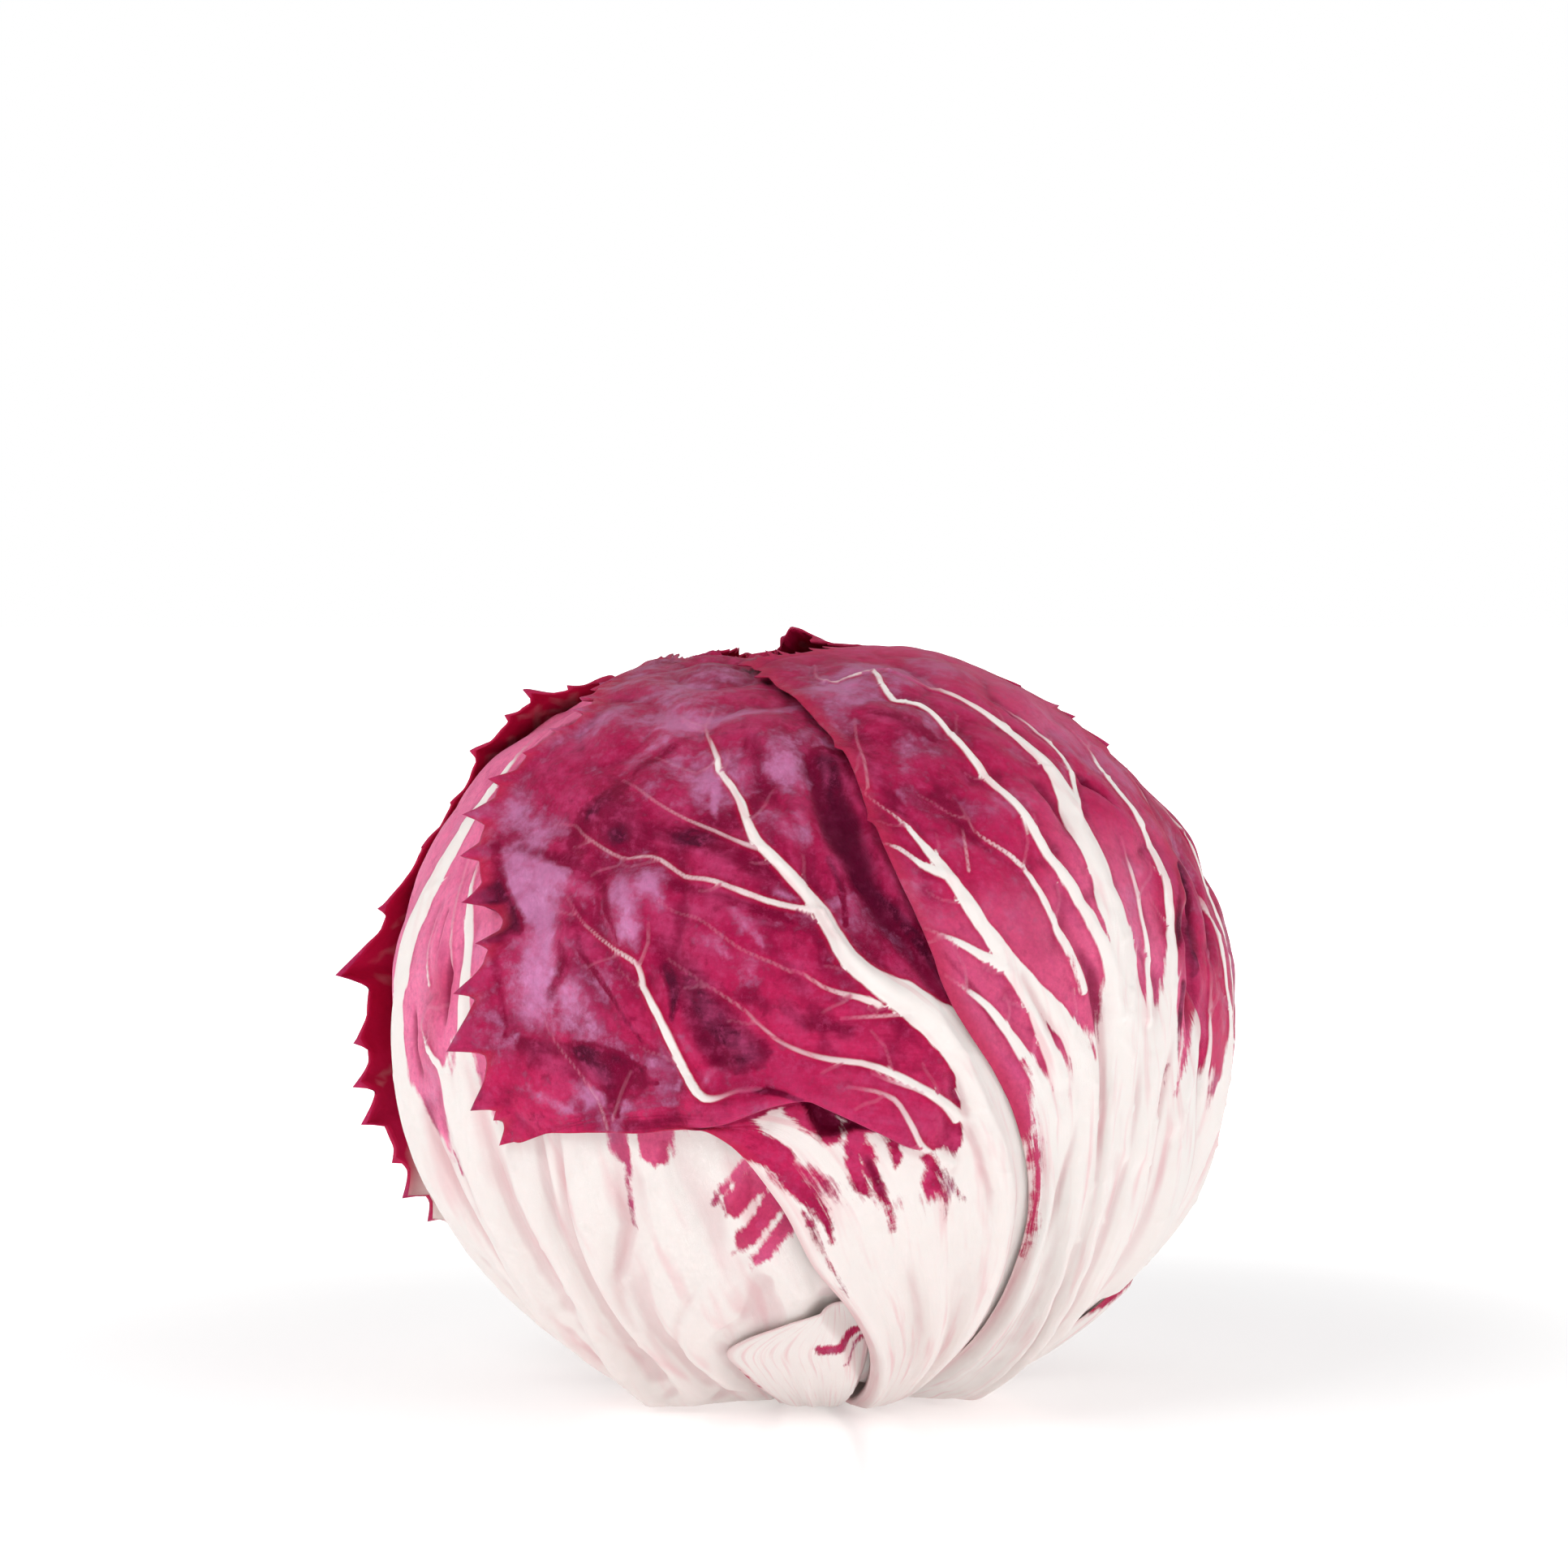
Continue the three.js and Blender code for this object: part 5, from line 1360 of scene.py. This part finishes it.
    # painted sheen in soft-edged areas, broken up by noise; the specular rises there too
    mottle = plus(plus(crumpled, leaning), plus(soft, freckles))
    sheen = plus(field("paintedSheen"), times(minus(mottle, 2.0), 2.0))
    sheen = minus(sheen, times(between(darkRedAndShade, 0.2, 1.2), 0.8))
    paintedSheenAndGloss = times(between(sheen, 0.1, 1.5), plus(0.35, times(ripe, 0.65)))
    redColour = blend(times(paintedSheenAndGloss, 0.6), redColour, tone("paintedSheen"))
    beside = oneMinus(between(field("ribGap"), 0.05, 0.8))
    beside = times(beside, times(plus(0.2, times(ripe, 0.5)), thick))
    redColour = blend(beside, redColour, tone("fringe"))
    edge = oneMinus(between(field("edgeGap"), 0.3, 3.0))
    redColour = blend(times(edge, 0.7), redColour, tone("edge"))
    along = plus(0.78, times(grain, 0.44))
    redColour = blend(1.0, redColour, add(tree, "ShaderNodeCombineColor", Red=along, Green=along,
                                          Blue=along).outputs[0], "MULTIPLY")
    fleshColour = blend(between(streaks, 0.5, 0.75), tone("rib"), tone("ribBlush"))
    # painted shade on the flesh: pinker in hollows and in furrows
    fleshColour = blend(times(between(field("hollow"), 0.1, 0.9), 0.35), fleshColour,
                        tone("paintedGrooveShade"))
    fleshColour = blend(times(between(field("furrow"), 0.3, 1.4), 0.4), fleshColour,
                        tone("furrow"))
    rim = oneMinus(between(field("edgeGap"), 0.2, 1.6))
    fleshColour = blend(times(rim, 0.35), fleshColour, tone("furrow"))
    fine = times(oneMinus(thick), aboveBase)
    fleshColour = blend(fine, fleshColour, tone("fineRib"))
    colour = blend(red, fleshColour, redColour)

    relief = plus(times(soft, 0.5), times(veins, 0.10))
    relief = plus(relief, times(fibres, 0.35))
    relief = plus(relief, times(grain, 0.06))
    bump = add(tree, "ShaderNodeBump", Strength=0.5, Distance=0.0006, Height=relief).outputs[0]
    shader = add(tree, "ShaderNodeBsdfPrincipled", Base_Color=colour, IOR=1.42,
                 Roughness=plus(leafFinish["roughness"], times(minus(blotch, 0.5), 0.3)),
                 Specular_IOR_Level=plus(leafFinish["specular"],
                                          times(times(paintedSheenAndGloss, red), leafFinish["paintedSheenAndGloss"])),
                 Specular_Tint=linear("#E6CCFF"), Normal=bump, Sheen_Roughness=0.25,
                 Sheen_Weight=times(minus(red, between(darkRedAndShade, 0.2, 1.2)), leafFinish["haze"]),
                 Sheen_Tint=linear("#F4C4DC"),
                 Subsurface_Weight=0.12, Subsurface_Radius=(0.005, 0.0016, 0.0018), Subsurface_Scale=0.5)
    tree.links.new(shader.outputs[0], surface)
    return material


def innerSkin():
    # The leaf's upper face: thinner wax and no painted sheen, so a deeper, duller crimson
    material, tree, surface, coords = emptyFinish("radicchioLeafInnerFace")
    blotch = noise(tree, coords, 160.0, 5.0, 0.6)
    gap = add(tree, "ShaderNodeAttribute", {"attribute_name": "ribGap"}).outputs["Fac"]
    low = add(tree, "ShaderNodeAttribute", {"attribute_name": "redAbove"}).outputs["Fac"]
    colour = add(tree, "ShaderNodeMix", {"data_type": "RGBA"}, Factor=blotch, _6=linear(leafFinish["inner"]),
                 _7=linear("#C21C50")).outputs[2]
    ribs = add(tree, "ShaderNodeMapRange", Value=gap, From_Min=-0.3, From_Max=0.4, To_Min=0.12,
               To_Max=0.0).outputs[0]
    base = add(tree, "ShaderNodeMapRange", Value=low, From_Min=-8.0, From_Max=2.0, To_Min=1.0,
               To_Max=0.0).outputs[0]
    pale = add(tree, "ShaderNodeMath", {"operation": "MAXIMUM"}, _0=ribs, _1=base).outputs[0]
    colour = add(tree, "ShaderNodeMix", {"data_type": "RGBA"}, Factor=pale, _6=colour,
                 _7=linear(leafFinish["rib"])).outputs[2]
    bump = add(tree, "ShaderNodeBump", Strength=0.4, Distance=0.0005, Height=blotch).outputs[0]
    shader = add(tree, "ShaderNodeBsdfPrincipled", Base_Color=colour, Roughness=0.6, IOR=1.4,
                 Specular_IOR_Level=leafFinish["specular"], Normal=bump)
    tree.links.new(shader.outputs[0], surface)
    return material


def cutFlesh():
    # Stem cut with a knife: moist pale flesh, a ring of veins, browned by air towards the rim
    material, tree, surface, coords = emptyFinish("cutStemFlesh")
    blotch = noise(tree, coords, 320.0, 5.0, 0.6)
    apart = add(tree, "ShaderNodeVectorMath", {"operation": "LENGTH"}, _0=coords).outputs["Value"]
    ring = add(tree, "ShaderNodeMapRange", Value=apart, From_Min=0.0055, From_Max=0.0098, To_Min=0.0,
               To_Max=0.8).outputs[0]
    brown = add(tree, "ShaderNodeMath", {"operation": "MULTIPLY"}, _0=ring, _1=blotch).outputs[0]
    colour = add(tree, "ShaderNodeMix", {"data_type": "RGBA"}, Factor=brown, _6=linear("#E9DCC8"),
                 _7=linear("#8A5A3C")).outputs[2]
    bump = add(tree, "ShaderNodeBump", Strength=0.5, Distance=0.0004, Height=blotch).outputs[0]
    shader = add(tree, "ShaderNodeBsdfPrincipled", Base_Color=colour, Roughness=0.5, IOR=1.4, Normal=bump)
    tree.links.new(shader.outputs[0], surface)
    return material


skin, inside, flesh = leafSkin(), innerSkin(), cutFlesh()
for piece in pieces:
    piece.data.materials.append(skin)
    piece.data.materials.append(inside)
heartPiece.data.materials.append(inside)
stemPiece.data.materials.append(flesh)
print("finishes made")

studio = {
    "floor": "#FFFFFF",
    "floorGlow": 0.31,         # a board lit from behind, more so away from the head, white to the horizon
    "farGlow": 1.2,
    "floorSize": 6.0,
    "world": 0.38,
    "side": 7.0,
    "key": 3.0,
    "fill": 2.3,
    "top": 4.6,
    "lens": 128.2,       # mm on a 36 mm frame
    "distance": 0.8,     # m from the head's centre
    "elevation": 6.0,    # degrees the camera looks down at the head's centre
    "aimUp": 2.32,       # degrees from the head's centre to the picture's centre
    "aimLeft": 0.316,
}


def layFloor():
    # a wide sheet of glossy white board
    half = studio["floorSize"] / 2
    mesh = bpy.data.meshes.new("floor")
    corners = [(-half, -half, 0), (half, -half, 0), (half, half, 0), (-half, half, 0)]
    mesh.from_pydata(corners, [], [(0, 1, 2, 3)])
    floor = newObject("floor", mesh)
    material = bpy.data.materials.new("glossyWhiteBoard")
    material.use_nodes = True
    shader = material.node_tree.nodes["Principled BSDF"]
    shader.inputs["Base Color"].default_value = linear(studio["floor"])
    shader.inputs["Roughness"].default_value = 0.22
    shader.inputs["Emission Color"].default_value = (1, 1, 1, 1)
    tree = material.node_tree
    away = add(tree, "ShaderNodeVectorMath", {"operation": "LENGTH"},
               _0=add(tree, "ShaderNodeTexCoord").outputs["Object"]).outputs["Value"]
    glow = add(tree, "ShaderNodeMapRange", {"interpolation_type": "SMOOTHSTEP"}, Value=away, From_Min=0.08,
               From_Max=0.36, To_Min=studio["floorGlow"], To_Max=studio["farGlow"]).outputs[0]
    tree.links.new(glow, shader.inputs["Emission Strength"])
    shader.inputs["IOR"].default_value = 1.45
    mesh.materials.append(material)
    floor.location.z = -0.0002


def lamp(name, place, target, size, power):
    data = bpy.data.lights.new(name, "AREA")
    data.energy, data.size = power, size
    light = newObject(name, data)
    light.location = place
    aim = np.array(target) - np.array(place)
    light.rotation_euler = (math.atan2(math.hypot(aim[0], aim[1]), -aim[2]), 0, math.atan2(-aim[0], aim[1]))
    return light


layFloor()
lamp("keySoftbox", (-0.5, -0.6, 0.65), (0, 0, 0.06), 0.45, studio["key"])
lamp("fillSoftbox", (0.75, -0.6, 0.45), (0, 0, 0.05), 0.7, studio["fill"])
lamp("topSoftbox", (0, 0.1, 1.3), (0, 0, 0), 1.4, studio["top"])
# two strips for the sheen alone
for name, place in (("leftStrip", (-0.8, -0.3, 0.25)), ("rightStrip", (0.75, -0.1, 0.35))):
    lamp(name, place, (0, 0, 0.05), 0.55, studio["side"]).visible_diffuse = False
world = bpy.data.worlds.new("whiteStudio")
world.use_nodes = True
backdrop = world.node_tree.nodes["Background"]
backdrop.inputs["Color"].default_value = (1, 1, 1, 1)
# the backdrop is lit apart from the head: white to the camera, softer as light
seen = add(world.node_tree, "ShaderNodeLightPath").outputs["Is Camera Ray"]
strength = add(world.node_tree, "ShaderNodeMapRange", Value=seen, To_Min=studio["world"], To_Max=1.0)
world.node_tree.links.new(strength.outputs[0], backdrop.inputs["Strength"])
bpy.context.scene.world = world
bpy.context.scene.view_settings.view_transform = "Standard"

camera = newObject("camera", bpy.data.cameras.new("camera"))
bpy.context.scene.camera = camera
camera.data.lens, camera.data.sensor_width = studio["lens"], 36
camera.data.clip_end = 20
tilt = math.radians(studio["elevation"])
camera.location = (0, -studio["distance"] * math.cos(tilt),
                   head["centreHeight"] * mm + studio["distance"] * math.sin(tilt))
pitch = math.radians(90 - studio["elevation"] + studio["aimUp"])
camera.rotation_euler = (pitch, 0, math.radians(studio["aimLeft"]))
print("studio set")
